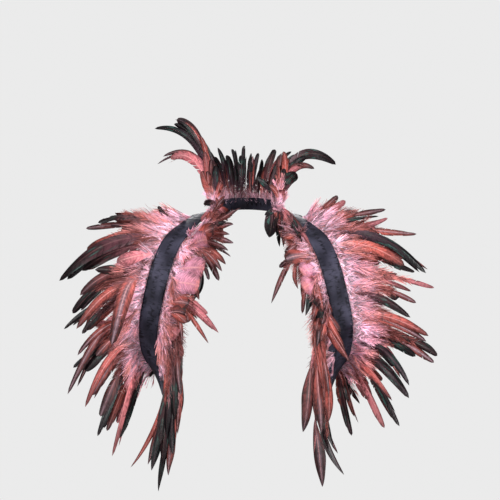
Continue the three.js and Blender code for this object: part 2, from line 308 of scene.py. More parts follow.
CHEST_LEADS = {
    Side.RIGHT: rows(
        Lead,
        (0.8, 35, 22, 0.05, 12, EDGED, 0.6), (1.0, 8, 7, 0.0, 11, BROWN, 0.4),
        (1.1, 31, -16, 0.06, 12, BLACK, 0.6), (1.2, 20, -20, 0.06, 14, EDGED, 0.7),
        (1.3, 26, -36, 0.06, 13, RUST, 0.8), (1.4, 20, -50, 0.08, 14, EDGED, 0.6),
        (1.5, 24, -72, 0.14, 11, BROWN, 0.5), (1.8, 43, -110, 0.28, 11, BROWN, 0.3),
        (1.6, 28, -62, 0.12, 13, BROWN, 0.4), (1.7, 32, -84, 0.18, 13, RUST, 0.5),
        (1.9, 38, -95, 0.22, 13, EDGED, 0.6), (2.2, 102, -158, 0.1, 13, BLACK, 0.4, -0.5),
        (2.6, 74, -140, 0.12, 14, RUST, 0.5), (3.9, 43, -192, 0.08, 17, ROSE, 0.9, 0.0, HACKLE),
        (4.0, 59, -209, 0.1, 9, RUST, 0.3, 0.0, HACKLE), (3.6, 100, -205, 0.06, 10, STRIPED, 0.3),
        (4.6, 103, -290, 0.06, 10, BROWN, 0.6), (4.9, 112, -330, 0.02, 17, BLACK, 0.5, 0.0, LEAF),
        (5.0, 108, -352, 0.02, 11, EDGED, 0.8, -0.06, LEAF),
        (5.2, 116, -384, 0.0, 15, BLACK, 0.6, 0.0, LEAF), (5.3, 125, -355, 0.0, 15, BLACK, 0.7),
        (5.5, 123, -418, 0.0, 12, EDGED, 0.8, -0.04, LEAF),
        (5.6, 132, -402, 0.0, 15, BLACK, 0.5, 0.0, LEAF),
        (5.9, 139, -444, 0.0, 9, BLACK, 0.3, -0.04, LEAF),
        (6.2, 150, -411, -0.02, 13, BLACK, 0.6, -0.05, LEAF),
        (6.3, 156, -402, -0.02, 11, BROWN, 0.4, -0.08, LEAF),
        (5.7, 136, -368, 0.0, 15, SLATE, 0.7, -0.03, LEAF),
        (6.5, 184, -407, -0.1, 11, RUST, 0.5, -0.12), (1.6, 51, -26, 0.05, 26, RUST, 0.9),
        (2.15, 62, -45, 0.1, 36, BLUSH, 0.7), (3.0, 66, -90, 0.06, 34, BLUSH, 1.0, 0.0, PETAL),
        (3.5, 74, -118, 0.06, 32, BLUSH, 1.1, 0.0, PETAL), (4.2, 90, -146, 0.1, 20, EDGED, 0.9),
        (4.6, 96, -162, 0.15, 18, BROWN, 0.9), (4.4, 94, -176, 0.1, 16, RUST, 0.8),
        (4.9, 108, -196, 0.0, 20, ROSE, 0.7),
    ),
    Side.LEFT: rows(
        Lead,
        (1.4, 60, -44, 0.06, 15, RUST, 0.7), (1.7, 62, -68, 0.08, 15, BROWN, 0.5),
        (2.0, 40, -146, 0.18, 12, BROWN, 0.4), (2.2, 83, -123, 0.1, 9, RUST, 0.5, -0.35),
        (2.6, 89, -162, 0.12, 8, RUST, 0.3), (3.0, 112, -170, 0.1, 13, BLACK, 0.6),
        (3.1, 122, -172, 0.16, 11, RUST, 0.8), (4.5, 157, -222, 0.0, 12, RUST, 1.6),
        (4.8, 163, -238, -0.02, 11, EDGED, 1.7), (4.2, 112, -214, 0.06, 12, BROWN, 0.5),
        (4.4, 131, -295, 0.0, 13, EDGED, 0.8), (4.6, 123, -301, 0.02, 13, RUST, 0.6),
        (5.0, 90, -349, 0.02, 17, BROWN, 0.8, 0.0, LEAF),
        (5.2, 119, -352, 0.0, 15, EDGED, 0.8, -0.04, LEAF),
        (5.4, 130, -334, 0.0, 15, RUST, 0.6, 0.05, LEAF),
        (5.5, 128, -346, 0.0, 14, ROSE, 0.5, -0.04, TUFT), (5.5, 107, -386, 0.0, 6, ROSE, 0.2),
        (5.6, 121, -436, 0.0, 16, BROWN, 0.8, -0.06, LEAF),
        (6.0, 139, -376, -0.02, 11, BLACK, 0.4, -0.12, LEAF),
        (6.3, 156, -418, -0.04, 13, SLATE, 0.6, -0.2, LEAF), (2.4, 62, -76, 0.08, 24, EDGED, 0.9),
        (2.9, 88, -98, 0.06, 28, BLUSH, 0.9, 0.0, PETAL),
        (3.4, 90, -122, 0.06, 30, BLUSH, 1.2, 0.0, PETAL), (3.9, 112, -150, 0.06, 19, SLATE, 0.9),
        (4.3, 120, -178, 0.04, 17, BROWN, 0.9), (3.4, 94, -165, 0.1, 15, BLACK, 0.8),
        (3.8, 104, -172, 0.1, 14, EDGED, 0.7), (4.1, 110, -188, 0.08, 14, RUST, 0.7),
        (4.0, 118, -170, 0.12, 12, BLACK, 0.8), (4.6, 118, -206, 0.04, 14, RUST, 0.7),
    ),
}

COLLAR_ROWS = rows(
    CollarRow,
    (-14, 84, -22, 60), (2, 146, -6, 76), (24, 112, 42, 96), (52, 78, 98, 104), (90, 0, 122, 112),
    (128, -78, 98, 108), (156, -116, 40, 150), (178, -148, 0, 134), (194, -142, -24, 80),
)

COLLAR_LEADS = rows(
    CollarLead,
    (168, -114, 20, 152, 20, SLATE, 0.9), (172, -118, 12, 145, 13, BLACK, 0.9),
    (176, -149, 4, 137, 11, BLACK, 1.0), (186, -75, -6, 125, 10, RUST, 0.7),
    (190, -144, -16, 78, 13, BROWN, 1.3), (186, -135, -10, 91, 9, BROWN, 1.2),
    (194, -122, -24, 86, 17, ROSE, 1.1), (198, -67, -18, 99, 13, RUST, 0.6),
    (200, -62, -22, 67, 14, RUST, 0.6), (204, -56, -26, 86, 13, BROWN, 0.6),
    (208, -48, -32, 75, 13, BLACK, 0.6), (211, -40, -36, 50, 12, RUST, 0.6),
    (213, -67, -64, 11, 15, BLACK, 0.35), (212, -34, -44, 25, 13, RUST, 0.3),
    (208, -70, -56, -26, 15, RUST, 0.1), (210, -54, -62, -45, 15, RUST, 0.1),
    (212, -38, -58, -32, 14, BROWN, 0.1), (213, -29, -54, -14, 13, BLACK, 0.2),
    (212, -22, -52, -6, 16, RUST, 0.1), (210, -46, -58, -32, 20, BROWN, 0.1),
    (206, -60, -58, -16, 20, RUST, 0.1), (204, -72, -42, -16, 15, ROSE, 0.1),
    (208, -36, -60, -45, 15, RUST, 0.1), (6, 146, -4, 78, 19, BLACK, 1.3),
    (0, 111, -10, 71, 12, BROWN, 1.2), (-6, 90, -14, 72, 10, ROSE, 1.0),
    (-16, 83, -26, 62, 22, BLACK, 0.8), (-10, 60, -16, 99, 11, RUST, 0.7),
    (-26, 35, -36, 43, 12, RUST, 0.6), (-35, 18, -44, 56, 13, BLACK, 0.6),
    (-37, 37, -74, -41, 30, BLACK, 0.15), (-24, 105, -66, -55, 15, ROSE, 0.1),
    (-28, 82, -68, -61, 14, BROWN, 0.1), (-30, 67, -62, -38, 15, RUST, 0.1),
    (-32, 50, -52, -10, 13, RUST, 0.2), (-20, 60, -34, 36, 13, ROSE, 0.6),
    (-34, 44, -60, -26, 16, BROWN, 0.1), (-30, 58, -64, -45, 16, RUST, 0.1),
    (-36, 30, -52, -5, 14, BLACK, 0.1), (-22, 94, -62, -34, 16, BROWN, 0.1),
    (-26, 90, -68, -50, 14, BLACK, 0.1), (-30, 74, -70, -58, 16, RUST, 0.1),
    (-33, 60, -68, -56, 14, BLACK, 0.1), (-28, 70, -56, -22, 15, ROSE, 0.1),
)


def unit(vectors: Array) -> Array:
    """Scales vectors, whose last axis is XYZ, to length one."""
    return vectors / np.maximum(np.linalg.norm(vectors, axis=-1, keepdims=True), 1e-9)


def square_to(vectors: Array, along: Array) -> Array:
    """The part of vectors square to unit directions, at length one."""
    return unit(vectors - (vectors * along).sum(-1, keepdims=True) * along)


def run_along(points: Array) -> Array:
    """The distance along a line from its first point to each of its points."""
    return np.concatenate([[0], np.cumsum(np.linalg.norm(np.diff(points, axis=0), axis=1))])


def between(table: Sequence, share: float, *fields: str) -> Array:
    """Reads a table between its rows.

    Args:
        table: The rows.
        share: From 0 at the first row to 1 at the last.
        *fields: The fields to read.

    Returns:
        The fields' values there.
    """
    place = min(max(share, 0.0), 1.0) * (len(table) - 1)
    low = min(int(place), len(table) - 2)
    part = place - low
    a, b = (np.array([getattr(row, k) for k in fields]) for row in table[low : low + 2])
    return (1 - part) * a + part * b


def smooth_line(knots: Array, station: Array, even: bool) -> Array:
    """Reads a closed Catmull-Rom line.

    Args:
        knots: The line's points in order.
        station: Places on it, counted in knots.
        even: True for equal knots, False for knots spaced by the root of their distance.

    Returns:
        A point for each station.
    """
    first = np.floor(station).astype(int)
    part = (station - first)[:, None]
    p0, p1, p2, p3 = (knots[(first + k) % len(knots)] for k in (-1, 0, 1, 2))
    if even:
        t1, t2 = 0.5 * (p2 - p0), 0.5 * (p3 - p1)
    else:
        d0, d1, d2 = (
            np.sqrt(np.linalg.norm(b - a, axis=1, keepdims=True))
            for a, b in ((p0, p1), (p1, p2), (p2, p3))
        )
        t1 = d1 * ((p1 - p0) / d0 - (p2 - p0) / (d0 + d1) + (p2 - p1) / d1)
        t2 = d1 * ((p2 - p1) / d1 - (p3 - p1) / (d1 + d2) + (p3 - p2) / d2)
    c2 = 3 * (p2 - p1) - 2 * t1 - t2
    c3 = 2 * (p1 - p2) + t1 + t2
    return p1 + part * (t1 + part * (c2 + part * c3))


def clip_curve(spine: Array, share: float) -> Array:
    """Keeps the first part of a cubic curve.

    Args:
        spine: Its four control points.
        share: Where it ends, from 0 to 1.

    Returns:
        The control points of the part.
    """
    kept, level = [spine[0]], spine
    while len(level) > 1:
        level = level[:-1] + share * (level[1:] - level[:-1])
        kept.append(level[0])
    return np.array(kept)


class ArmLoop:
    """The line that an arm band follows on the wearer's left, with the ribbon's facing."""

    step: float = 1e-3
    samples: int = 4001

    def __init__(self, table: Sequence[LoopRow]) -> None:
        """Reads the table into arrays.

        Args:
            table: The loop's rows, in order round it.
        """
        self.count = len(table)
        self.knots = MM * np.array([(r.out, r.deep, r.up) for r in table])
        facing, rise = np.radians([(r.facing, r.rise) for r in table]).T
        level = np.cos(rise)
        self.faces = np.stack([np.sin(facing) * level, -np.cos(facing) * level, np.sin(rise)], 1)

    def frame(self, station: Array) -> tuple[Array, Array, Array]:
        """The loop at some stations.

        Args:
            station: Places on the loop, counted in table rows.

        Returns:
            The centres, the ribbon's outward faces, and the directions across it towards the arm.
        """
        station = np.atleast_1d(np.asarray(station, float))
        before, centre, after = (
            smooth_line(self.knots, station + step, False) for step in (-self.step, 0, self.step)
        )
        along = unit(after - before)
        face = square_to(smooth_line(self.faces, station, True), along)
        return centre, face, unit(np.cross(face, along))

    def by_length(self, count: int) -> tuple[Array, float]:
        """Stations at equal distances round the loop.

        Args:
            count: How many spans to make.

        Returns:
            count + 1 stations, the last one a full turn on, and the loop's length.
        """
        fine = np.linspace(0, self.count, self.samples)
        run = run_along(smooth_line(self.knots, fine, False))
        return np.interp(np.linspace(0, run[-1], count + 1), run, fine), float(run[-1])


@dataclass(frozen=True)
class NeckLine:
    """The line of the neck band, as an ellipse that rises towards the back."""

    across: float = 54 * MM
    deep: float = 58 * MM
    back: float = 8 * MM
    front_height: float = 8 * MM
    back_rise: float = 8 * MM

    def frame(self, turn: Array) -> tuple[Array, Array]:
        """The band at some angles.

        Args:
            turn: Degrees from the wearer's left, towards the back.

        Returns:
            The band's middle points and its outward faces.
        """
        a = np.radians(np.atleast_1d(np.asarray(turn, float)))
        behind = np.sin(a)
        height = self.front_height + self.back_rise * np.abs(behind) ** 1.5
        centre = np.stack([self.across * np.cos(a), self.back + self.deep * behind, height], 1)
        face = np.stack([np.cos(a) / self.across, behind / self.deep, np.zeros_like(a)], 1)
        return centre, unit(face)


class Nodes:
    """Adds and links the nodes of one tree, which it empties first."""

    def __init__(self, tree: Tree) -> None:
        """Keeps the tree and empties it."""
        self.tree = tree
        tree.nodes.clear()

    def add(self, kind: str, inputs: Sequence | dict = (), **settings: object) -> bpy.types.Node:
        """Adds a node.

        Args:
            kind: The node's type, without its leading ShaderNode.
            inputs: Sockets to link or values to set, in the inputs' order or by their keys.
            **settings: Its properties.

        Returns:
            The new node.
        """
        node = self.tree.nodes.new(f"ShaderNode{kind}")
        for name, value in settings.items():
            setattr(node, name, value)
        for key, value in inputs.items() if isinstance(inputs, dict) else enumerate(inputs):
            if isinstance(value, Socket):
                self.tree.links.new(value, node.inputs[key])
            else:
                node.inputs[key].default_value = value
        return node

    def math(self, operation: str, *values: object, clamp: bool = False) -> Socket:
        """The result of a maths node."""
        return self.add("Math", values, operation=operation, use_clamp=clamp).outputs[0]

    def times(self, *values: object) -> Socket:
        """Values multiplied together."""
        return reduce(lambda a, b: self.math("MULTIPLY", a, b), values)

    def times_add(self, a: object, b: object, c: object, clamp: bool = False) -> Socket:
        """Two values multiplied, with a third one added."""
        return self.math("MULTIPLY_ADD", a, b, c, clamp=clamp)

    def off_half(self, value: Socket) -> Socket:
        """How far a value lies above one half."""
        return self.math("SUBTRACT", value, 0.5)

    def mix(self, share: object, a: object, b: object, blend: str = "MIX") -> Socket:
        """The first colour with a share of the second."""
        colours = {0: share, 6: a, 7: b}
        return self.add("Mix", colours, data_type="RGBA", blend_type=blend).outputs[2]

    def shade(self, colour: Socket, tint: Socket) -> Socket:
        """A colour multiplied by a value."""
        return self.mix(1.0, colour, self.join(tint, tint, tint), "MULTIPLY")

    def remap(
        self, value: Socket, low: float, high: float, start: float = 0.0, end: float = 1.0
    ) -> Socket:
        """Eases a value from start at low to end at high."""
        limits = (value, low, high, start, end)
        return self.add("MapRange", limits, interpolation_type="SMOOTHSTEP").outputs[0]

    def ramp(self, value: Socket, stops: tuple[tuple[float, ...], ...]) -> Socket:
        """A colour ramp.

        Args:
            value: The socket that drives it.
            stops: Each stop's place, red, green and blue.

        Returns:
            The ramp's colour.
        """
        node = self.add("ValToRGB", (value,))
        marks = node.color_ramp.elements
        while len(marks) < len(stops):
            marks.new(0.5)
        for mark, (place, *colour) in zip(marks, stops):
            mark.position = place
            mark.color = (*colour, 1.0)
        return node.outputs[0]

    def noise(self, x: Socket, y: Socket, z: object, stretch: Span, detail: float) -> Socket:
        """Noise over two stretched values, read in slice z."""
        spot = self.join(self.times(x, stretch[0]), self.times(y, stretch[1]), z)
        return self.add("TexNoise", {"Vector": spot, "Scale": 1.0, "Detail": detail}).outputs[0]

    def join(self, *values: object) -> Socket:
        """A vector from three values."""
        return self.add("CombineXYZ", values).outputs[0]

    def place(self, uv_map: str) -> tuple[Socket, Socket]:
        """The two values of a UV map."""
        uv = self.add("UVMap", uv_map=uv_map).outputs[0]
        return tuple(self.add("SeparateXYZ", (uv,)).outputs[:2])

    def feather(self) -> tuple[Socket, ...]:
        """Reads the feather that is shaded.

        Returns:
            The places across and along it, its tone, its own number, its quill and its markings.
        """
        marks = self.add("Attribute", attribute_name=MARKS)
        parts = self.add("SeparateColor", (marks.outputs["Color"],)).outputs
        return *self.place(FEATHER_MAP), *parts, marks.outputs["Alpha"]

    def bump(self, height: Socket, strength: float, depth: float) -> Socket:
        """The normal of a relief."""
        inputs = {"Strength": strength, "Distance": depth, "Height": height}
        return self.add("Bump", inputs).outputs[0]

    def surface(
        self,
        colour: Socket | tuple,
        roughness: Socket | float,
        specular: float,
        normal: Socket | None = None,
        glow: float = 0.0,
    ) -> None:
        """Adds the shader and the output.

        Args:
            colour: Its colour.
            roughness: Its roughness.
            specular: Its specular level.
            normal: Its relief, if it has one.
            glow: The share of light that comes through it.
        """
        inputs = {"Base Color": colour, "Roughness": roughness, "Specular IOR Level": specular}
        inputs |= {"Normal": normal} if normal else {}
        shader = self.add("BsdfPrincipled", inputs).outputs[0]
        if glow:
            through = self.add("BsdfTranslucent", (colour,)).outputs[0]
            shader = self.add("MixShader", (glow, shader, through)).outputs[0]
        self.add("OutputMaterial", (shader,))


def barb_grain_group() -> Tree:
    """Builds the streaks of the barbs, shared by the vanes and the down.

    Returns:
        The node group, with Across, Along and Feather in, and Streak, Patch and Split out.
    """
    tree = bpy.data.node_groups.new("barb_grain", "ShaderNodeTree")
    n = Nodes(tree)
    for name in ("Across", "Along", "Feather"):
        tree.interface.new_socket(name, in_out="INPUT", socket_type="NodeSocketFloat")
    for name in ("Streak", "Patch", "Split"):
        tree.interface.new_socket(name, in_out="OUTPUT", socket_type="NodeSocketFloat")
    across, along, feather = tree.nodes.new("NodeGroupInput").outputs[:3]
    shift = n.times(feather, 37.0)
    fine = n.noise(along, across, shift, (46.0, 2.2), 3.0)
    coarse = n.noise(along, across, shift, (7.0, 3.0), 2.0)
    # parted marks the lines where the barbs split, which the vanes darken as painted shade
    parted = n.math("ABSOLUTE", n.off_half(n.noise(along, across, shift, (15.0, 0.9), 1.0)))
    masks = n.remap(fine, 0.28, 0.72), n.remap(coarse, 0.3, 0.7), n.remap(parted, 0.07, 0.0)
    for mask, socket in zip(masks, tree.nodes.new("NodeGroupOutput").inputs):
        tree.links.new(mask, socket)
    return tree


def new_material(name: str) -> tuple[Material, Nodes]:
    """Makes a material, with the helper that fills its empty tree.

    Args:
        name: The material's name.

    Returns:
        The material and its helper.
    """
    material = bpy.data.materials.new(name)
    material.use_nodes = True
    return material, Nodes(material.node_tree)


@dataclass(frozen=True)
class FeatherFinish:
    """Dyed cock feather: coral at the vane's foot, then rust or charcoal, the charcoal ones with a
    painted teal glint.
    """

    name: str = "cock_feather"
    roughness: Span = (0.62, 0.4)
    specular: float = 0.14
    relief: Span = (0.3, 0.4 * MM)
    glow: float = 0.08
    pale: tuple = (
        (0.0, 0.62, 0.34, 0.47), (0.45, 0.53, 0.232, 0.328), (0.8, 0.47, 0.183, 0.242),
        (1.0, 0.34, 0.11, 0.115),
    )
    rust: tuple = (
        (0.0, 0.92, 0.52, 0.60), (0.16, 0.76, 0.33, 0.34), (0.36, 0.48, 0.119, 0.100),
        (0.62, 0.345, 0.068, 0.053), (0.86, 0.17, 0.038, 0.031), (1.0, 0.030, 0.009, 0.009),
    )
    dark: tuple = (
        (0.0, 0.52, 0.25, 0.30), (0.12, 0.20, 0.090, 0.106), (0.3, 0.088, 0.041, 0.054),
        (0.6, 0.039, 0.019, 0.028), (0.82, 0.016, 0.008, 0.012), (1.0, 0.003, 0.002, 0.003),
    )
    glint_tint: tuple = (0.040, 0.100, 0.086, 1.0)
    stripe: tuple = (0.120, 0.078, 0.095, 1.0)
    rim: tuple = (0.022, 0.009, 0.011, 1.0)
    quill: tuple = (0.80, 0.40, 0.38, 1.0)

    def material(self, grain: Tree) -> Material:
        """Builds the vane's material.

        Args:
            grain: The shared barb streaks.

        Returns:
            The material.
        """
        material, n = new_material(self.name)
        u, along, tone, feather, quill, kind = n.feather()
        darkness = n.math("MAXIMUM", tone, 0.0)
        paleness = n.math("MAXIMUM", n.times(tone, -1.0), 0.0)
        across = n.math("ABSOLUTE", n.times_add(u, 2.0, -1.0))
        streak, patch, gap_shade_mask = n.add("Group", (across, along, feather), node_tree=grain).outputs
        wander = along
        for value, amount in ((streak, 0.2), (patch, 0.16), (feather, 0.2)):
            wander = n.times_add(n.off_half(value), amount, wander)
        wander = n.times_add(darkness, 0.2, wander, clamp=True)
        colour = n.mix(darkness, n.ramp(wander, self.rust), n.ramp(wander, self.dark))
        colour = n.mix(paleness, colour, n.ramp(wander, self.pale))
        centre = n.times(n.remap(across, 0.6, 0.1), n.remap(wander, 0.28, 0.5))
        colour = n.mix(n.times(centre, n.math("FRACT", kind)), colour, self.stripe)
        rim = n.times(n.remap(across, 0.5, 0.95), n.remap(wander, 0.36, 0.6))
        rim = n.times(rim, n.times(n.math("FLOOR", kind), 0.1))
        colour = n.mix(rim, colour, self.rim)
        tint = n.times_add(streak, 1.05, n.times_add(feather, 0.5, 0.24))
        # painted shade: the vane is darkened along the barb splits, more towards its edge,
        # standing in for shade in the gaps
        painted_gap_shade = n.times(gap_shade_mask, n.remap(across, 0.1, 0.8, 0.0, 0.6))
        colour = n.shade(colour, n.times(tint, n.math("SUBTRACT", 1.0, painted_gap_shade)))
        # painted glint: a teal patch mixed into the colour of the dark feathers midway along,
        # standing in for an iridescent sheen
        glint_mask = n.times(
            n.remap(darkness, 0.4, 0.9), n.remap(along, 0.4, 0.6), n.remap(along, 0.92, 0.76),
            n.remap(patch, 0.56, 1.05), n.remap(streak, 0.0, 1.0, 0.3, 0.75),
        )
        colour = n.mix(glint_mask, colour, self.glint_tint)
        shaft = n.times(n.remap(across, 0.14, 0.02), n.remap(along, 0.95, 0.7, 0.1, 0.32))
        quill = n.times(n.math("MAXIMUM", quill, shaft), n.remap(darkness, 1.2, 0.1))
        colour = n.mix(quill, colour, self.quill)
        roughness = n.remap(darkness, 0.0, 1.0, *self.roughness)
        n.surface(colour, roughness, self.specular, n.bump(streak, *self.relief), self.glow)
        return material


@dataclass(frozen=True)
class DownFinish:
    """The soft barbs at the feathers' foot: pale pink by the ribbon, coral and rust beyond it."""

    name: str = "pink_down"
    roughness: Span = (0.7, 0.95)
    specular: float = 0.08
    glow: float = 0.16
    barb: tuple = (
        (0.0, 1.0, 0.80, 0.92), (0.12, 0.98, 0.60, 0.78), (0.24, 0.88, 0.38, 0.45),
        (0.36, 0.70, 0.290, 0.285), (0.55, 0.52, 0.175, 0.160), (1.0, 0.32, 0.090, 0.080),
    )
    grey: tuple = (
        (0.0, 0.96, 0.64, 0.79), (0.1, 0.84, 0.44, 0.56), (0.2, 0.45, 0.220, 0.245),
        (0.36, 0.22, 0.115, 0.130), (1.0, 0.085, 0.050, 0.060),
    )

    def material(self, grain: Tree) -> Material:
        """Builds the down's material.

        Args:
            grain: The shared barb streaks.

        Returns:
            The material.
        """
        material, n = new_material(self.name)
        across, along, tone, feather, _, _ = n.feather()
        streak, patch, _ = n.add("Group", (across, along, feather), node_tree=grain).outputs
        far = n.times(
            n.times_add(n.off_half(streak), 0.3, along, clamp=True),
            n.times_add(feather, 1.1, 0.75),
            n.times_add(n.math("MINIMUM", tone, 0.0), 0.5, 1.0),
        )
        darkness = n.math("MAXIMUM", tone, 0.0)
        colour = n.mix(darkness, n.ramp(far, self.barb), n.ramp(far, self.grey))
        tint = n.times_add(streak, 1.4, n.times_add(across, 0.32, -0.12))
        tint = n.times(n.math("MAXIMUM", tint, 0.08), n.times_add(feather, -0.5, 1.25))
        roughness = n.remap(patch, 0.0, 1.0, *self.roughness)
        n.surface(n.shade(colour, tint), roughness, self.specular, glow=self.glow)
        return material


@dataclass(frozen=True)
class SatinFinish:
    """Black satin ribbon with a faint blue cast, fine ribs across it and crushed places, painted
    sheen in broad lighter patches and painted shade in the creases of its puckers.
    """

    name: str = "black_satin"
    base: tuple = (0.0095, 0.009, 0.0155, 1.0)
    painted_sheen: tuple = (0.034, 0.0325, 0.051, 1.0)
    painted_pucker_shade: tuple = (0.002, 0.002, 0.004, 1.0)
    rib: float = 0.9 * MM
    roughness: Span = (0.52, 0.68)
    specular: float = 0.09
    relief: Span = (0.4, 0.6 * MM)

    def material(self) -> Material:
        """Builds the ribbon's material, which reads the ribbon's own map in metres.

        Returns:
            The material.
        """
        material, n = new_material(self.name)
        across, along = n.place(RIBBON_MAP)
        thread = n.noise(across, along, 0.0, (90.0, 16.0), 2.0)
        crush = n.noise(across, along, 3.0, (50.0, 120.0), 2.0)
        broad = n.noise(across, along, 7.0, (28.0, 22.0), 1.0)
        ribs = n.math("SINE", n.times(along, 2 * math.pi / self.rib))
        # painted sheen: broad lighter patches stand in for the satin's soft highlights
        colour = n.mix(n.remap(broad, 0.34, 0.66), self.base, self.painted_sheen)
        # painted shade: thin dark lines along the folds of the crush noise, standing in for shade
        # in the pucker creases
        pucker_shade_mask = n.remap(n.math("ABSOLUTE", n.off_half(crush)), 0.08, 0.0)
        pucker_shade_mask = n.times(pucker_shade_mask, n.remap(thread, 0.38, 0.58, 0.0, 0.9))
        colour = n.mix(pucker_shade_mask, colour, self.painted_pucker_shade)
        height = n.times_add(ribs, 0.05, n.times_add(crush, 0.9, n.times(thread, 0.4)))
        roughness = n.remap(crush, 0.3, 0.7, *self.roughness)
        n.surface(colour, roughness, self.specular, n.bump(height, *self.relief))
        return material


@dataclass(frozen=True)
class FloorFinish:
    """Plain pale studio floor."""

    name: str = "studio_floor"
    colour: tuple = (0.40, 0.40, 0.40, 1.0)
    roughness: float = 0.8
    specular: float = 0.5

    def material(self) -> Material:
        """Builds the floor's material.

        Returns:
            The material.
        """
        material, n = new_material(self.name)
        n.surface(self.colour, self.roughness, self.specular)
        return material


@dataclass
class Feather:
    """One feather: its spine's four control points and the way its vane lies.

    Barbs that lean against away, the direction off the ribbon, stay short.
    """

    spine: Array
    face: Array
    width: float
    kind: Kind
    tone: Tone
    roll: float = 0.0
    twist: float = 0.0
    fluff: float = 60 * MM
    away: Array = field(default_factory=lambda: np.zeros(3))

    def read(self, t: Array) -> tuple[Array, Array, Array, Array]:
        """The spine at some places.

        Args:
            t: Places from 0 at the root to 1 at the tip, of any shape.

        Returns:
            Points, tangents, flat faces and sideways directions.
        """
        t = t[..., None]
        a, b, c, d = self.spine
        s = 1 - t
        point = s**3 * a + 3 * s * s * t * b + 3 * s * t * t * c + t**3 * d
        along = unit(s * s * (b - a) + 2 * s * t * (c - b) + t * t * (d - c))
        flat = square_to(np.broadcast_to(self.face, along.shape), along)
        turn = self.roll + self.twist * t
        flat = flat * np.cos(turn) + np.cross(along, flat) * np.sin(turn)
        return point, along, flat, np.cross(flat, along)

    @property
    def length(self) -> float:
        """The spine's length, near enough."""
        points = self.read(np.linspace(0, 1, 9))[0]
        return float(np.linalg.norm(np.diff(points, axis=0), axis=1).sum())

    @property
    def vaned(self) -> bool:
        """Whether it has a vane, and not only down."""
        return self.kind not in (TUFT, HEM)


@dataclass(frozen=True)
class DownShape:
    """How loose barbs grow: their lean in degrees, and their stray, curl and reach."""

    lean: float
    stray: float
    curl: float
    reach: float


LOOSE_DOWN = DownShape(0.0, 0.18, 0.11, 1.0)
SLEEK_DOWN = DownShape(14.0, 0.11, 0.06, 1.25)


def add_object(name: str, data: bpy.types.ID) -> Object:
    """Puts new data into the scene as an object at the origin.

    Args:
        name: The object's name.
        data: Its mesh, lamp or camera.

    Returns:
        The object.
    """
    obj = bpy.data.objects.new(name, data)
    bpy.context.scene.collection.objects.link(obj)
    return obj


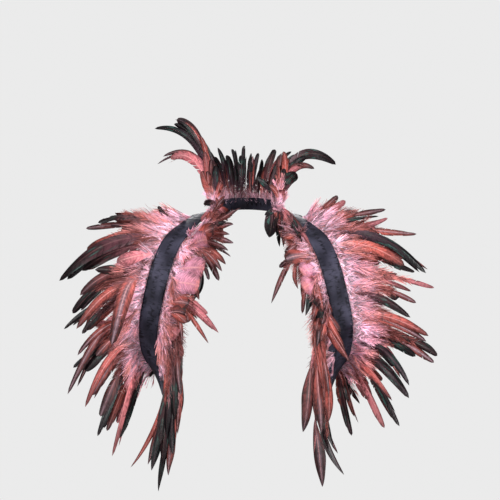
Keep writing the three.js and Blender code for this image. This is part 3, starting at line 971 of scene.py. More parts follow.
@dataclass
class Plumage:
    """Gathers feathers into the arrays of one joined mesh, and makes the piece from them."""

    rng: Rng
    rows_per_metre: float = 130.0
    fewest_rows: int = 12
    most_rows: int = 26
    leaf: float = 92 * MM
    petal_start: float = 0.06
    sweep: float = 1.1
    camber: float = 0.8
    broad: float = 22 * MM
    bare_foot: float = 20 * MM
    clump_lean: float = 1.2 * MM
    clump_lift: float = 0.12
    ripple: float = 0.06
    frayed: float = 0.035
    quill_radius: float = 0.6 * MM
    quill_end: float = 0.96
    quill_rows: int = 8
    quill_taper: float = 0.8
    barb_width: float = 1.05 * MM
    barbs_per_metre: float = 1300.0
    fewest_barbs: int = 30
    barb_run: Span = (0.06, 1.0)
    barb_lean: Span = (36, 60)
    barb_turn: float = 18.0
    barb_sweep: float = 0.35
    barb_droop: float = 0.05
    barb_taper: float = 0.7
    barb_widths: Span = (0.7, 1.3)
    barb_spread: Span = (0.6, 1.15)
    barb_lengths: tuple[float, float, float] = (13, 25, 11)
    barb_reach: float = 1.0
    ripe: float = 1.0
    early_ripe: float = 1.8
    ripe_run: float = 100 * MM
    hem_ripe: float = 0.2
    grey: float = 0.8
    parts: dict[str, list[Array]] = field(default_factory=lambda: defaultdict(list))
    total: int = 0
    feathers: int = 0

    def keep(self, points: Array, places: Array, cells: Array, mark: tuple, slot: int) -> None:
        """Stores strips of quads.

        Args:
            points: Strips, each a grid of rows by columns of points.
            places: The same grids' places on the feather.
            cells: The same grids' places in the feather's bake cell.
            mark: The feather's colouring.
            slot: Material slot.
        """
        strips, high, wide, _ = points.shape
        grid = np.arange(high * wide).reshape(high, wide)
        quad = np.stack([grid[:-1, :-1], grid[:-1, 1:], grid[1:, 1:], grid[1:, :-1]], -1)
        quad = quad.reshape(-1, 4)
        starts = self.total + high * wide * np.arange(strips)
        count = strips * high * wide
        for name, values in {
            "quads": (quad[None] + starts[:, None, None]).reshape(-1, 4),
            "slots": np.full(strips * len(quad), slot, np.int32),
            "points": points.reshape(-1, 3),
            "places": np.broadcast_to(places, (strips, high, wide, 2)).reshape(-1, 2),
            "cells": np.broadcast_to(cells, (strips, high, wide, 2)).reshape(-1, 2),
            "marks": np.tile(np.array(mark, np.float32), (count, 1)),
            "owners": np.full(count, self.feathers),
        }.items():
            self.parts[name].append(values)
        self.total += count

    def outline(self, kind: Kind, x: Array) -> Array:
        """The vane's half width along it, as a share of the widest.

        Args:
            kind: The feather's build.
            x: Places on the vane from 0 to 1.

        Returns:
            Shares from 0 to 1.
        """
        if kind is PETAL:
            return np.clip(x / 0.15 + 0.2, 0, 1) ** 0.5 * np.clip(1 - x**4, 0, 1) ** 0.5
        if kind is LEAF:
            return np.clip(np.sin(np.pi * x**0.85), 0, 1) ** 0.85
        foot = np.clip(1 - (1 - x) ** 3, 0, 1) ** 0.7
        if kind is HACKLE:
            return foot * np.clip(1 - x**1.8, 0, 1) ** 0.75
        return foot * np.clip(1 - x**3, 0, 1) ** 0.5

    def grow(self, feather: Feather) -> None:
        """Adds one feather's quill, vane and down.

        Args:
            feather: The feather to grow.
        """
        rng = self.rng
        length = feather.length
        chance = float(rng.random())
        dark, stripe, rim = feather.tone.value
        dark = float(np.clip(dark + rng.normal(0, 0.06), -1, 1))
        stripe = float(np.clip(stripe + rng.normal(0, 0.12), 0, 0.98))
        kind = round(10 * rim) + stripe
        if feather.vaned:
            self.grow_vane(feather, length, (dark, chance, 0.0, kind))
        self.grow_quill(feather, (dark, chance, 0.8, kind))
        self.grow_down(feather, length, (min(dark, self.grey), chance, 0.0, 0.0))
        self.feathers += 1

    def grow_vane(self, feather: Feather, length: float, mark: tuple) -> None:
        """Adds the two halves of a vane, each in a few clumps of barbs with parted edges.

        Args:
            feather: The feather.
            length: Its length.
            mark: Its colouring.
        """
        rng, whole = self.rng, feather.kind is LEAF
        count = int(np.clip(length * self.rows_per_metre, self.fewest_rows, self.most_rows))
        start = float(np.clip(0.75 * feather.fluff / length, 0.08, 0.56))
        if whole:
            start = float(np.clip(1 - self.leaf / length, 0.2, 0.75))
        elif feather.kind is PETAL:
            start = self.petal_start
        edges = np.linspace(0, 1, count + 1)
        x = np.stack([edges[:-1], edges[1:]], 1)
        q = np.array([0.0, 0.5, 1.0])
        loose = np.interp(x[:, :1], (0.1, 0.45), (0.0 if whole else self.frayed, 0.0))
        camber = self.camber * rng.uniform(0.6, 2.2 if feather.width < self.broad else 1.1)
        t = start + (1 - start) * x
        room = 1.001 - t
        for half in (-1.0, 1.0):
            parts = 0 if whole or feather.fluff < self.bare_foot else rng.integers(1, 5)
            cuts = np.sort(rng.choice(np.arange(1, count - 1), parts, replace=False))
            clump = np.searchsorted(cuts, np.arange(count), side="right")
            lean = rng.normal(0, self.clump_lean / length, parts + 1)[clump][:, None]
            lean = lean + loose * rng.normal(0, 1, (count, 1))
            lift = rng.normal(0, self.clump_lift, parts + 1)[clump][:, None, None]
            wave = 1 + self.ripple * np.sin(x * rng.uniform(5, 12) + rng.uniform(0, 6))
            wide = 0.5 * feather.width * self.outline(feather.kind, x) * wave
            ahead = self.sweep * wide / length + lean * (wide / (0.5 * feather.width))
            ahead = np.where(ahead > 0, ahead * room / (room + ahead), ahead)
            across = wide[:, :, None] * q
            point, _, flat, side = feather.read(t[:, :, None] + ahead[:, :, None] * q**1.3)
            sag = -camber * across**2 / feather.width + lift * across * q
            grid = point + half * side * across[..., None] + flat * sag[..., None]
            place = np.stack(np.broadcast_arrays(0.5 + 0.5 * half * q, t[:, :, None]), -1)
            self.keep(grid, place, place * VANE_CELL, mark, 0)

    def grow_quill(self, feather: Feather, mark: tuple) -> None:
        """Adds the quill as a slim three-sided tube.

        Args:
            feather: The feather.
            mark: Its colouring.
        """
        t = np.linspace(0, self.quill_end, self.quill_rows)
        point, _, flat, side = feather.read(t)
        radius = self.quill_radius * (1 - self.quill_taper * t)[:, None]
        turns = np.radians([90.0, 210.0, 330.0, 450.0])
        rings = [point + radius * (side * math.cos(a) + flat * math.sin(a)) for a in turns]
        place = np.stack(np.broadcast_arrays(0.5, np.tile(t[:, None], len(turns))), -1)
        cell = np.stack(np.broadcast_arrays(np.linspace(*QUILL_CELL, 4), t[:, None]), -1)
        self.keep(np.stack(rings, 1)[None], place, cell, mark, 0)

    def grow_down(self, feather: Feather, length: float, mark: tuple) -> None:
        """Adds soft loose barbs along the foot of a feather.

        Args:
            feather: The feather.
            length: Its length.
            mark: Its colouring.
        """
        rng, sleek = self.rng, feather.kind is TUFT
        shape = SLEEK_DOWN if sleek else LOOSE_DOWN
        foot = min(feather.fluff, (0.8 if feather.vaned else 1.0) * length)
        count = int(self.fewest_barbs + self.barbs_per_metre * foot)
        run = rng.uniform(*self.barb_run, count)
        point, along, flat, side = feather.read(run * foot / length)
        half = rng.choice([-1.0, 1.0], count)[:, None]
        angle = rng.uniform(*self.barb_lean, count) + shape.lean + self.barb_turn * run
        angle = np.radians(angle)[:, None]
        heading = half * side * np.cos(angle) + along * np.sin(angle)
        heading = unit(heading + flat * rng.normal(-0.03, shape.stray, (count, 1)))
        back = np.minimum(heading @ feather.away, 0)
        reach = rng.uniform(*self.barb_spread, count)
        reach = reach * np.interp(run, (0, 0.3, 1), self.barb_lengths) * MM
        reach = self.barb_reach * reach * np.clip(1 + 1.4 * back, 0.03, 1) * shape.reach
        s = np.linspace(0, 1, 3)[None, :, None]
        curve = self.barb_sweep * along + rng.normal(0, shape.curl, (count, 3))
        curve = curve - self.barb_droop * UP
        line = heading[:, None] * s + curve[:, None] * s**2
        line = point[:, None] + reach[:, None, None] * line
        broad = unit(np.cross(heading, flat + rng.normal(0, 0.5, (count, 3))))[:, None]
        wide = 0.5 * self.barb_width * (1 - self.barb_taper * s)
        wide = wide * rng.uniform(*self.barb_widths, (count, 1, 1))
        grid = np.stack([line - broad * wide, line + broad * wide], 2)
        early = sleek and feather.tone in (RUST, BROWN)
        ripe = max(self.ripe, self.early_ripe) if early else self.ripe
        far = np.clip(ripe * run * foot / self.ripe_run, 0, 0.98)[:, None]
        if feather.kind is HEM:
            far = self.ripe * self.hem_ripe * s[..., 0]
        place = np.empty((count, 3, 2, 2))
        place[..., 0] = s
        place[..., 0, 1], place[..., 1, 1] = far, far + 0.012
        self.keep(grid, place, place * DOWN_CELL + DOWN_SHIFT, mark, 1)

    def piece(self, name: str, side: Side, materials: list[Material]) -> Object:
        """Makes the joined mesh.

        Args:
            name: The piece's name.
            side: The shoulder that it is laid out for.
            materials: The vane's and the down's materials.

        Returns:
            The new object, at the origin.
        """
        parts = {label: np.concatenate(values) for label, values in self.parts.items()}
        quads = parts["quads"]
        if side is Side.RIGHT:
            quads = quads[:, ::-1]
        mesh = bpy.data.meshes.new(name)
        mesh.from_pydata(parts["points"] * (side.value, 1.0, 1.0), [], quads.tolist())
        corners = np.empty(len(mesh.loops), np.int32)
        mesh.loops.foreach_get("vertex_index", corners)
        columns = max(1, round(math.sqrt(self.feathers * CELL_SHAPE)))
        lines = math.ceil(self.feathers / columns)
        line, column = np.divmod(parts["owners"], columns)
        cells = np.clip(parts["cells"], 0, 1) * (1 - 2 * CELL_MARGIN) + CELL_MARGIN
        cells = (cells + np.stack([column, line], 1)) / (columns, lines)
        for label, places in ((FEATHER_MAP, parts["places"]), (BAKE_MAP, cells)):
            layer = mesh.uv_layers.new(name=label)
            layer.data.foreach_set("uv", places[corners].astype(np.float32).ravel())
        mesh.uv_layers[FEATHER_MAP].active_render = True
        colouring = mesh.attributes.new(MARKS, "FLOAT_COLOR", "POINT")
        colouring.data.foreach_set("color", parts["marks"].ravel())
        mesh.polygons.foreach_set("material_index", parts["slots"])
        mesh.polygons.foreach_set("use_smooth", np.ones(len(quads), bool))
        for material in materials:
            mesh.materials.append(material)
        mesh.update()
        log.info("%s: %d feathers, %d triangles", name, self.feathers, 2 * len(quads))
        return add_object(name, mesh)


def settle(piece: Object, slot: str, *nodes: str) -> None:
    """Rides a piece on the cape and hides the solids that it replaces.

    Args:
        piece: The new piece.
        slot: Not used.
        *nodes: The solids that it replaces.
    """
    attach(piece, "root")
    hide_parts(*nodes)


@dataclass
class Ribbon:
    """A satin ribbon laid along a line, with puckers across it."""

    name: str
    node: str
    centre: Array
    face: Array
    across: Array
    run: Array
    width: float
    looped: bool
    rng: Rng
    pucker: float = 0.9 * MM
    wall: float = 1.1 * MM
    bow: float = 0.5 * MM
    columns: int = 10
    waves: tuple[float, ...] = (6.5 * MM, 9.0 * MM, 14.0 * MM, 23.0 * MM)
    shares: tuple[float, ...] = (0.3, 0.35, 0.25, 0.2)

    def build(self) -> Object:
        """Bends a flat strip along the line, puckers it and gives it its thickness.

        Returns:
            The ribbon's object.
        """
        count = len(self.run) - 1
        bm = bmesh.new()
        bmesh.ops.create_grid(bm, x_segments=self.columns, y_segments=count, size=0.5)
        flat = bm.loops.layers.uv.new(RIBBON_MAP)
        for corner in (c for f in bm.faces for c in f.loops):
            x, y, _ = corner.vert.co
            corner[flat].uv = (x * self.width, (y + 0.5) * self.run[-1])
        crimps = self.crimps()
        for vert in bm.verts:
            x, y, _ = vert.co
            row = round((y + 0.5) * count)
            lift = crimps[row] * (0.35 + 0.65 * abs(2 * x)) + self.bow * (1 - (2 * abs(x)) ** 2)
            spot = self.centre[row] + self.across[row] * (x * self.width) + self.face[row] * lift
            vert.co = Vector(spot)
        if self.looped:
            bmesh.ops.remove_doubles(bm, verts=bm.verts, dist=1e-5)
        bmesh.ops.recalc_face_normals(bm, faces=bm.faces)
        mesh = bpy.data.meshes.new(self.name)
        bm.to_mesh(mesh)
        bm.free()
        mesh.polygons.foreach_set("use_smooth", np.ones(len(mesh.polygons), bool))
        obj = add_object(self.name, mesh)
        thick = obj.modifiers.new("wall", "SOLIDIFY")
        thick.thickness = self.wall
        thick.offset = 0.0
        return obj

    def crimps(self) -> Array:
        """Heights of the puckers along the ribbon, the first and last alike on a loop.

        Returns:
            A height for each row.
        """
        place = self.run / self.run[-1]
        turns = np.round(self.run[-1] / np.array(self.waves))
        phase = self.rng.uniform(0, 2 * np.pi, len(turns))
        waves = np.sin(2 * np.pi * turns * place[:, None] + phase)
        share = 0.5 + 0.5 * np.sin(2 * np.pi * 5 * place + self.rng.uniform(0, 6))
        return self.pucker * share * (waves @ self.shares)

    def dress(self, obj: Object, satin: Material) -> None:
        """Gives the ribbon its satin, rides it on the cape and hides the solid that it replaces.

        Args:
            obj: The ribbon's object.
            satin: Its material.
        """
        obj.data.materials.append(satin)
        settle(obj, "satin_ribbon", self.node)
        float(self.run[-1])
        log.info("%s: ribbon %.0f mm long", self.name, self.run[-1] / MM)


FLUFF_TONES = (BLUSH, ROSE, RUST, BROWN)
TONES = (ROSE, RUST, STRIPED, BROWN, SLATE, BLACK)
HACKLE_SHARE = 0.35


@dataclass(frozen=True)
class FringeSizes:
    """How many feathers a fringe has, how far they reach, and how often each tone comes."""

    tufts: int
    width: float
    layer: float
    odds: tuple[float, ...] = ()
    fill: int = 78
    reach: Span = (0.42, 0.8)
    tuft_reach: Span = (0.16, 0.3)
    soft_reach: Span = (0.4, 0.66)
    soft_every: int = 2
    rosy: float = 0.3
    pointed: float = 0.0
    ripe: float = 1.0
    grey: float = 0.8
    barb_reach: float = 1.0

    def tone(self, rng: Rng) -> Tone:
        """Draws a tone by its odds."""
        return TONES[rng.choice(len(TONES), p=self.odds)]


FRONT_SIZES = {
    Side.LEFT: FringeSizes(
        46, 18 * MM, 24 * MM, (0.42, 0.3, 0.14, 0.1, 0.04, 0.0), tuft_reach=(0.18, 0.34), grey=0.2
    ),
    Side.RIGHT: FringeSizes(38, 18 * MM, 24 * MM, (0.2, 0.36, 0.14, 0.18, 0.08, 0.04)),
}
CHEST_FLUFF_END = {Side.LEFT: 4.6, Side.RIGHT: 5.4}


@dataclass
class Fringe:
    """A feather fringe along an edge of the arm band, read from a fan table.

    A lie is how far the feathers' roll and twist vary, in radians.
    """

    loop: ArmLoop
    fan: tuple[FanRow, ...]
    leads: tuple[Lead, ...]
    edge: Edge
    sizes: FringeSizes
    behind: bool = False
    fluff_end: float = 9.0
    tuck: float = 15 * MM
    sunk: float = 2.8 * MM
    mirror: float = 14 * MM
    hem_start: float = 0.2
    hem_step: float = 0.8
    hem_length: float = 0.9
    hem_roll: float = 0.1
    tuft_stray: float = 7 * MM
    tuft_over: Span = (0, 0.7)
    tuft_roll: float = 0.4
    station_stray: float = 0.15
    arch_stray: Span = (-0.1, 0.04)
    bow_stray: float = 0.05
    fill_over: Span = (0.1, 0.9)
    soft_over: Span = (0.8, 1.3)
    like_share: float = 0.5
    fill_width: Span = (0.55, 1.05)
    fill_lie: Span = (0.35, 0.6)
    tip_stray: float = 6 * MM
    end_stray: float = 5 * MM
    stray_shape: tuple[float, float, float] = (1.0, 0.5, 1.0)
    fill_foot: float = 12 * MM
    downy: Span = (0.5, 0.75)
    raised: float = 0.75
    slim_width: float = 18
    broad_width: float = 20
    lead_lie: Span = (0.15, 0.3)
    lead_foot: Span = (10, 18)
    leaf_foot: float = 0.3
    front_width: float = 1.15
    back_width: float = 0.9
    back_change: float = 0.3

    def row(self, share: float) -> tuple[float, Array, float]:
        """The station, the tip and the arch at a share of the fan."""
        station, *tip, arch = between(self.fan, share, "station", "out", "deep", "up", "arch")
        return station, MM * np.array(tip), arch

    def tip(self, lead: Lead) -> Array:
        """Where a listed feather ends, as deep as the fan is there."""
        deep = np.interp(lead.station, [r.station for r in self.fan], [r.deep for r in self.fan])
        return MM * np.array([lead.out, deep, lead.up])

    def lay(
        self, station: float, tip: Array, arch: float, bow: float, over: float
    ) -> tuple[Array, Array, Array]:
        """Lays a spine from under the ribbon's edge to a tip.

        Args:
            station: Where on the loop its root stands.
            tip: Its tip.
            arch: How far its bend is lifted, as a share of its length.
            bow: How far its bend is moved outwards, as a share of its length.
            over: How high it lies among its neighbours, where 1 is one layer up.

        Returns:
            The spine's four control points, the way its vane faces and the way off the ribbon.
        """
        tip = tip.copy()
        if self.behind:
            station, tip[1] = -station, self.mirror - tip[1]
        centre, face, across = (v[0] for v in self.loop.frame(station))
        out = across * self.edge.value
        root = centre + out * self.tuck - face * self.sunk
        span = float(np.linalg.norm(tip - root))
        front = np.array([0.0, 1.0 if self.behind else -1.0, 0.0])
        stand = front * over * self.sizes.layer
        lead = root + out * 0.3 * span - face * MM + 0.5 * stand
        bend = root + 0.6 * (tip - root) + stand
        bend = bend + np.array([bow, 0.0, 1.25 * arch]) * span
        spine = np.array([root, lead, bend, tip + 0.6 * stand])
        return spine, unit(face + front), out

    def fluff(self, station: float) -> Tone:
        """The tone of the fluff at a station, from the nearest row of the fan."""
        return min(self.fan, key=lambda row: abs(row.station - station)).fluff

    def grow_hem(self, plumage: Plumage) -> None:
        """Grows an even line of down along the ribbon's edge, from lengths laid end to end.

        Args:
            plumage: Where they go.
        """
        last = min(self.fan[-1].station, self.fluff_end)
        for start in np.arange(self.fan[0].station - self.hem_start, last, self.hem_step):
            station = start + self.hem_length * np.linspace(0, 1, 4)
            station = -station if self.behind else station
            centre, face, across = self.loop.frame(station)
            out = across * self.edge.value
            a, b, c, d = centre + out * self.tuck - face * self.sunk
            lead = (-5 * a + 18 * b - 9 * c + 2 * d) / 6
            bend = (2 * a - 9 * b + 18 * c - 5 * d) / 6
            spine, tone = np.array([a, lead, bend, d]), self.fluff(start + self.hem_step / 2)
            roll = plumage.rng.normal(0, self.hem_roll)
            feather = Feather(spine, face[1], self.sizes.width, HEM, tone, roll, away=out[1])
            feather.fluff = feather.length
            plumage.grow(feather)

    def grow_tufts(self, plumage: Plumage) -> None:
        """Grows the short pale fluff beside the ribbon.

        Args:
            plumage: Where they go.
        """
        rng, sizes = plumage.rng, self.sizes
        for i in range(sizes.tufts):
            share = (i + rng.uniform(-0.4, 0.4)) / (sizes.tufts - 1)
            station, tip, arch = self.row(share)
            if station > self.fluff_end:
                break
            tip = self.shorten(station, tip, rng.uniform(*sizes.tuft_reach))
            tip = tip + rng.normal(0, self.tuft_stray, 3)
            spine, face, out = self.lay(station, tip, arch, 0, rng.uniform(*self.tuft_over))
            step = int(np.sum(rng.random() < sizes.rosy * np.array([1.0, 0.4])))
            step = min(FLUFF_TONES.index(self.fluff(station)) + step, len(FLUFF_TONES) - 1)
            tone, roll = FLUFF_TONES[step], rng.normal(0, self.tuft_roll)
            plumage.grow(Feather(spine, face, sizes.width, TUFT, tone, roll, away=out))

    def shorten(self, station: float, tip: Array, reach: float) -> Array:
        """Where a feather ends that goes only part of the way to a tip.

        Args:
            station: Where on the loop its root stands.
            tip: The full feather's tip.
            reach: The share of the way.

        Returns:
            The nearer tip.
        """
        root = self.lay(station, tip, 0, 0, 0)[0][0]
        root = root * (1, -1, 1) + (0, self.mirror, 0) if self.behind else root
        return root + (tip - root) * reach

    def grow_fill(self, plumage: Plumage) -> None:
        """Grows shorter companions under the listed feathers.

        Args:
            plumage: Where they go.
        """
        rng, sizes = plumage.rng, self.sizes
        plain = [lead for lead in self.leads if lead.kind is not TUFT]
        leads = [lead for lead in plain if lead.over > 0.2 and lead.width < self.broad_width]
        for i in range(sizes.fill):
            lead = leads[i % len(leads)]
            bare = lead.station > self.fluff_end
            if bare and i >= len(leads):
                continue
            soft = not bare and i % sizes.soft_every == 0
            spine, face, out = self.lay(
                lead.station + rng.normal(0, self.station_stray),
                self.tip(lead) + rng.normal(0, self.tip_stray, 3) * self.stray_shape,
                lead.arch + rng.uniform(*self.arch_stray),
                lead.bow + rng.normal(0, self.bow_stray),
                min(lead.over, 1) * rng.uniform(*(self.soft_over if soft else self.fill_over)),
            )
            spine = clip_curve(spine, rng.uniform(*(sizes.soft_reach if soft else sizes.reach)))
            spine[3] += rng.normal(0, self.end_stray, 3) * self.stray_shape
            kind = HACKLE if rng.random() < HACKLE_SHARE else COQUE
            alike = not soft and rng.random() < self.like_share
            tone = lead.tone if alike else sizes.tone(rng)
            if soft and self.fluff(lead.station) is RUST:
                tone = RUST
            width = sizes.width * rng.uniform(*self.fill_width)
            roll, twist = rng.normal(0, self.fill_lie)
            kind = TUFT if soft else kind
            feather = Feather(spine, face, width, kind, tone, roll, twist, self.fill_foot, out)
            if not bare:
                feather.fluff = (1.0 if soft else rng.uniform(*self.downy)) * feather.length
            plumage.grow(feather)

    def grow_leads(self, plumage: Plumage) -> None:
        """Grows the listed feathers, which give the fringe its outline.

        Args:
            plumage: Where they go.
        """
        rng, sizes = plumage.rng, self.sizes
        for lead in self.leads:
            changed = self.behind and rng.random() < self.back_change
            tone = sizes.tone(rng) if changed else lead.tone
            tip = self.tip(lead)
            spine, face, out = self.lay(lead.station, tip, lead.arch, lead.bow, lead.over)
            slim = lead.kind is COQUE and lead.width < self.slim_width
            slim = slim and rng.random() < sizes.pointed
            kind = HACKLE if slim else lead.kind
            width = (self.back_width if self.behind else self.front_width) * lead.width * MM
            roll, twist = rng.normal(0, self.lead_lie)
            foot = rng.uniform(*self.lead_foot) * MM
            feather = Feather(spine, face, width, kind, tone, roll, twist, foot, out)
            if lead.kind is TUFT:
                feather.fluff = feather.length
            elif lead.kind is LEAF:
                feather.fluff = self.leaf_foot * feather.length
            elif lead.over < self.raised and lead.station < self.fluff_end:
                feather.fluff = rng.uniform(*self.downy) * feather.length
            plumage.grow(feather)

    def plumage(self, seed: int) -> Plumage:
        """Grows the whole fringe.

        Args:
            seed: The seed of its lie.

        Returns:
            The fringe's feathers.
        """
        rng, sizes = np.random.default_rng(seed), self.sizes
        plumage = Plumage(rng, barb_reach=sizes.barb_reach, ripe=sizes.ripe, grey=sizes.grey)
        self.grow_hem(plumage)
        self.grow_tufts(plumage)
        self.grow_fill(plumage)
        self.grow_leads(plumage)
        return plumage


@dataclass
class Shoulder:
    """One shoulder: its arm band, and the fringes on the band's two edges."""

    side: Side
    loop: ArmLoop
    ribbon_width: float = 32 * MM
    ribbon_rows: int = 300
    back: FringeSizes = FringeSizes(
        40, 20 * MM, 18 * MM, (0.16, 0.3, 0.18, 0.2, 0.1, 0.06), tuft_reach=(0.18, 0.34)
    )
    top: FringeSizes = FringeSizes(22, 18 * MM, 4 * MM, tuft_reach=(0.35, 0.85), rosy=0.6)
    chest: FringeSizes = FringeSizes(
        40, 14 * MM, 9 * MM, (0.04, 0.28, 0.16, 0.28, 0.08, 0.16), 84, (0.4, 0.9), (0.22, 0.36),
        soft_every=5, pointed=0.75, ripe=2.0, barb_reach=0.84,
    )

    def build(self, satin: Material, plumes: list[Material]) -> None:
        """Makes the shoulder's pieces.

        Args:
            satin: The ribbon's material.
            plumes: The vane's and the down's materials.
        """
        self.build_band(satin)
        side, word = self.side, self.side.word
        arm = self.loop, SHOULDER_FANS[side], SHOULDER_LEADS[side], Edge.ARM
        front = Fringe(*arm, FRONT_SIZES[side])
        back = Fringe(*arm, self.back, behind=True)
        top = Fringe(self.loop, TOP_FAN, (), Edge.ARM, self.top)
        inner = self.loop, CHEST_FANS[side], CHEST_LEADS[side], Edge.CHEST
        chest = Fringe(*inner, self.chest, fluff_end=CHEST_FLUFF_END[side])
        for step, name, node, fringe in (
            (100, "shoulder_feathers_front", "shoulder_fringe", front),
            (200, "shoulder_feathers_back", "shoulder_fringe", back),
            (300, "chest_feathers", "chest_fringe", chest),
        ):
            plumage = fringe.plumage(FRINGE_SEEDS[side] + step)
            if fringe is front:
                top.grow_tufts(plumage)
            piece = plumage.piece(f"{name}_{word}", side, plumes)
            settle(piece, "feather", f"{node}_{word}")

    def build_band(self, satin: Material) -> None:
        """Makes the arm band.

        Args:
            satin: The ribbon's material.
        """
        word = self.side.word
        station, length = self.loop.by_length(self.ribbon_rows)
        frame = (v * (self.side.value, 1.0, 1.0) for v in self.loop.frame(station))
        rng = np.random.default_rng(BAND_SEEDS[self.side])
        run = np.linspace(0, length, self.ribbon_rows + 1)
        names = f"arm_ribbon_{word}", f"arm_band_{word}"
        band = Ribbon(*names, *frame, run, self.ribbon_width, True, rng)
        band.dress(band.build(), satin)


@dataclass
class Collar:
    """The neck band and the feathers that stand round it.

    A lie is how far the feathers' roll and twist vary, in radians.
    """

    line: NeckLine = NeckLine()
    height: float = 20 * MM
    pucker: float = 0.5 * MM
    ends: Span = (-38.0, 214.0)
    spans: int = 110
    tape_rise: float = -4 * MM
    off_tape: float = 1.6 * MM
    barb_reach: float = 0.42
    stand: float = 0.85
    side_fill: int = 28
    tuft_turns: tuple[Span, Span] = ((168, 212), (-36, 8))
    tuft_rise: tuple[Span, Span] = ((3, 9), (16, 46))
    tuft_stray: float = 3 * MM
    blush_share: float = 0.4
    back_share: Span = (0.22, 0.56)
    black_share: float = 0.5
    like_share: float = 0.8
    turn_stray: float = 4.0
    fill_stray: float = 6 * MM
    fill_width: Span = (0.6, 1.1)
    fill_lie: Span = (0.6, 0.4)
    fill_foot: Span = (14, 30)
    side_turns: tuple[Span, Span] = ((146, 184), (-4, 34))
    side_rise: tuple[Span, Span] = ((6, 20), (46, 84))
    side_stray: float = 4 * MM
    side_width: Span = (0.7, 1.1)
    side_lie: Span = (0.4, 0.4)
    lead_width: float = 1.1
    lead_lie: Span = (0.15, 0.25)
    lead_foot: Span = (12, 22)
    low_stand: float = 0.4
    sizes: FringeSizes = FringeSizes(
        22, 14 * MM, 9 * MM, (0.06, 0.34, 0.1, 0.26, 0.08, 0.16), 120, (0.5, 0.95)
    )

    def build(self, satin: Material, plumes: list[Material]) -> None:
        """Makes the collar's pieces.

        Args:
            satin: The ribbon's material.
            plumes: The vane's and the down's materials.
        """
        centre, face = self.line.frame(np.linspace(*self.ends, self.spans + 1))
        frame = centre, face, np.broadcast_to(UP, centre.shape), run_along(centre)
        rng = np.random.default_rng(NECK_SEED)
        names = "neck_ribbon", "neck_band"
        band = Ribbon(*names, *frame, self.height, False, rng, self.pucker)
        band.dress(band.build(), satin)
        plumage = Plumage(np.random.default_rng(COLLAR_SEED), barb_reach=self.barb_reach)
        self.grow_tufts(plumage)
        self.grow_fill(plumage)
        self.grow_sides(plumage)
        self.grow_leads(plumage)
        settle(plumage.piece("collar_feathers", Side.LEFT, plumes), "feather", "collar_fringe")

    def grow_tufts(self, plumage: Plumage) -> None:
        """Grows the fluff at the collar's two ends.

        Args:
            plumage: Where they go.
        """
        rng = plumage.rng
        for i in range(self.sizes.tufts):
            turn = rng.uniform(*self.tuft_turns[i % 2])
            tip = self.above(turn, self.tuft_rise, rng)
            spine, face = self.lay(turn, tip, self.stand, self.tuft_stray, rng)
            tone = BLUSH if rng.random() < self.blush_share else RUST
            plumage.grow(Feather(spine, face, self.sizes.width, TUFT, tone))

    def grow_fill(self, plumage: Plumage) -> None:
        """Grows the row behind the neck, and companions of the listed feathers.

        Args:
            plumage: Where they go.
        """
        rng, sizes = plumage.rng, self.sizes
        for i in range(sizes.fill):
            if i % 2:
                first, share = self.back_share
                share = first + share * (i + rng.uniform(-1, 1)) / sizes.fill
                turn, *tip = between(COLLAR_ROWS, share, "turn", "across", "deep", "up")
                tip, stand = MM * np.array(tip), self.stand
                tone = BLACK if rng.random() < self.black_share else sizes.tone(rng)
            else:
                lead = COLLAR_LEADS[(i // 2) % len(COLLAR_LEADS)]
                turn = lead.turn + rng.normal(0, self.turn_stray)
                tip, stand = lead.tip, lead.stand
                tone = lead.tone if rng.random() < self.like_share else sizes.tone(rng)
            spine, face = self.lay(turn, tip, stand, self.fill_stray, rng)
            spine = clip_curve(spine, rng.uniform(*sizes.reach))
            kind = HACKLE if rng.random() < HACKLE_SHARE else COQUE
            width = sizes.width * rng.uniform(*self.fill_width)
            roll, twist = rng.normal(0, self.fill_lie)
            foot = rng.uniform(*self.fill_foot) * MM
            plumage.grow(Feather(spine, face, width, kind, tone, roll, twist, foot))

    def grow_sides(self, plumage: Plumage) -> None:
        """Grows upright feathers on both sides of the neck.

        Args:
            plumage: Where they go.
        """
        rng, sizes = plumage.rng, self.sizes
        for i in range(self.side_fill):
            turn = rng.uniform(*self.side_turns[i % 2])
            tip = self.above(turn, self.side_rise, rng)
            spine, _ = self.lay(turn, tip, self.stand, self.side_stray, rng)
            face = self.line.frame(turn)[1][0]
            width, tone = sizes.width * rng.uniform(*self.side_width), sizes.tone(rng)
            roll, twist = rng.normal(0, self.side_lie)
            foot = rng.uniform(*self.fill_foot) * MM
            plumage.grow(Feather(spine, face, width, COQUE, tone, roll, twist, foot))

    def grow_leads(self, plumage: Plumage) -> None:
        """Grows the listed feathers, which give the collar its outline.

        Args:
            plumage: Where they go.
        """
        rng = plumage.rng
        for lead in COLLAR_LEADS:
            spine, face = self.lay(lead.turn, lead.tip, lead.stand, 0.0, rng)
            width = self.lead_width * lead.width * MM
            kind = HACKLE if lead.stand < self.low_stand else COQUE
            roll, twist = rng.normal(0, self.lead_lie)
            foot = rng.uniform(*self.lead_foot) * MM
            plumage.grow(Feather(spine, face, width, kind, lead.tone, roll, twist, foot))

    def above(self, turn: float, rise: tuple[Span, Span], rng: Rng) -> Array:
        """Draws a tip above the band.

        Args:
            turn: Where round the neck it lies.
            rise: The spans of its way out from the band and up, in millimetres.
            rng: The source of the draw.

        Returns:
            The tip.
        """
        out, up = (rng.uniform(*span) for span in rise)
        centre, face = (v[0] for v in self.line.frame(turn))
        return centre + face * out * MM + UP * up * MM

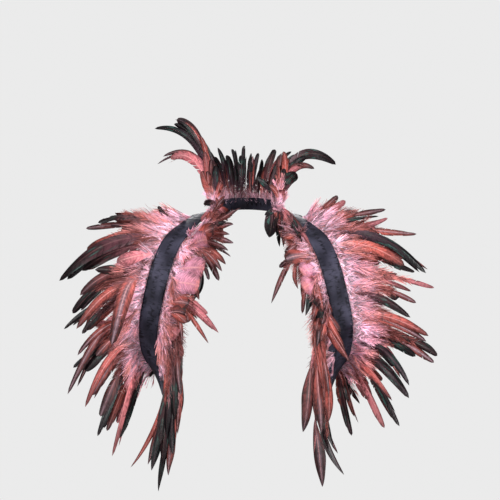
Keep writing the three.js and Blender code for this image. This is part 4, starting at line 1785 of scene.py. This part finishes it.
    def lay(
        self, turn: float, tip: Array, stand: float, stray: float, rng: Rng
    ) -> tuple[Array, Array]:
        """Stands a spine on the neck band and curls it towards its tip.

        Args:
            turn: Where round the neck it stands.
            tip: Where it ends.
            stand: How far it rises before it curls, as a share of its length.
            stray: How far its tip may stray.
            rng: The source of its lie.

        Returns:
            The spine's four control points and the way its vane faces.
        """
        centre, face = (v[0] for v in self.line.frame(turn))
        root = centre + face * self.off_tape + UP * self.tape_rise
        tip = tip + rng.normal(0, 1, 3) * stray
        span = float(np.linalg.norm(tip - root))
        layer = rng.uniform(0, 1) * self.sizes.layer * face
        lead = root + UP * span * stand * 0.6 + layer
        bend = root + UP * span * stand
        bend = bend + 0.45 * (tip - bend) + layer + rng.normal(0, 0.03, 3) * span
        away = -1.0 if face[1] < 0.6 else 1.0
        return np.array([root, lead, bend, tip]), unit(0.4 * face + (0.0, away, 0.1))


@dataclass
class Studio:
    """The pale floor, the soft lights and the camera.

    Each lamp has a name, a place, a side in metres and a power in watts.
    """

    scale: float = 1.6 * MM
    frame: int = 500
    middle: Span = (6.4 * MM, -60.8 * MM)
    distance: float = 4.0
    plane: float = -0.07
    sensor: float = 36.0
    floor_height: float = -0.62
    floor_radius: float = 1.15
    backdrop: float = 0.83
    ambient: float = 0.12
    lit: tuple[float, float, float] = (0.0, 0.0, -0.1)
    lamps: tuple = (
        ("key", (-2.0, -2.1, 1.4), 0.7, 124.0),
        ("fill", (2.2, -2.0, 0.7), 0.7, 132.0),
        ("front", (0.2, -3.2, 0.1), 1.0, 30.0),
        ("top", (0.0, 0.3, 2.4), 1.0, 18.0),
        ("back", (0.0, 2.6, 1.2), 1.2, 110.0),
    )

    def build(self) -> None:
        """Makes the floor, the world, the lamps and the camera."""
        self.build_floor()
        self.build_world()
        self.build_lamps()
        self.build_camera()

    def build_floor(self) -> None:
        """Makes the floor."""
        bm = bmesh.new()
        bmesh.ops.create_circle(bm, cap_ends=True, segments=96, radius=self.floor_radius)
        bmesh.ops.translate(bm, verts=bm.verts, vec=(0, 0, self.floor_height))
        mesh = bpy.data.meshes.new("floor")
        bm.to_mesh(mesh)
        bm.free()
        mesh.materials.append(FloorFinish().material())
        add_object("floor", mesh)

    def build_world(self) -> None:
        """Makes the pale backdrop, and a dimmer even light on the cape."""
        world = bpy.data.worlds.new("studio")
        bpy.context.scene.world = world
        world.use_nodes = True
        n = Nodes(world.node_tree)
        light, seen = (
            n.add("Background", ((grey, grey, grey, 1.0),)).outputs[0]
            for grey in (self.ambient, self.backdrop)
        )
        straight = n.add("LightPath").outputs["Is Camera Ray"]
        both = n.add("MixShader", (straight, light, seen)).outputs[0]
        n.add("OutputWorld", (both,))

    def build_lamps(self) -> None:
        """Hangs the soft lamps, which look at the cape."""
        for name, place, size, power in self.lamps:
            data = bpy.data.lights.new(name, "AREA")
            data.size, data.energy = size, power
            lamp = add_object(name, data)
            lamp.location = place
            aim = Vector(self.lit) - Vector(place)
            lamp.rotation_euler = aim.to_track_quat("-Z", "Y").to_euler()
            lamp.visible_camera = False

    def build_camera(self) -> None:
        """Sets the camera level and straight in front."""
        data = bpy.data.cameras.new("camera")
        data.sensor_width = self.sensor
        data.lens = self.sensor * (self.distance + self.plane) / (self.scale * self.frame)
        data.dof.use_dof = False
        camera = add_object("camera", data)
        camera.location = (self.middle[0], -self.distance, self.middle[1])
        camera.rotation_euler = (math.pi / 2, 0, 0)
        bpy.context.scene.camera = camera
        bpy.context.scene.view_settings.view_transform = "Standard"


def main() -> None:
    """Builds the cape's pieces in order."""
    logging.basicConfig(level=logging.INFO, stream=sys.stdout, format="%(name)s: %(message)s")
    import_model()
    Studio().build()
    grain = barb_grain_group()
    plumes = [FeatherFinish().material(grain), DownFinish().material(grain)]
    satin = SatinFinish().material()
    loop = ArmLoop(ARM_ROWS)
    for side in Side:
        Shoulder(side, loop).build(satin, plumes)
    Collar().build(satin, plumes)


if __name__ == "__main__":
    main()
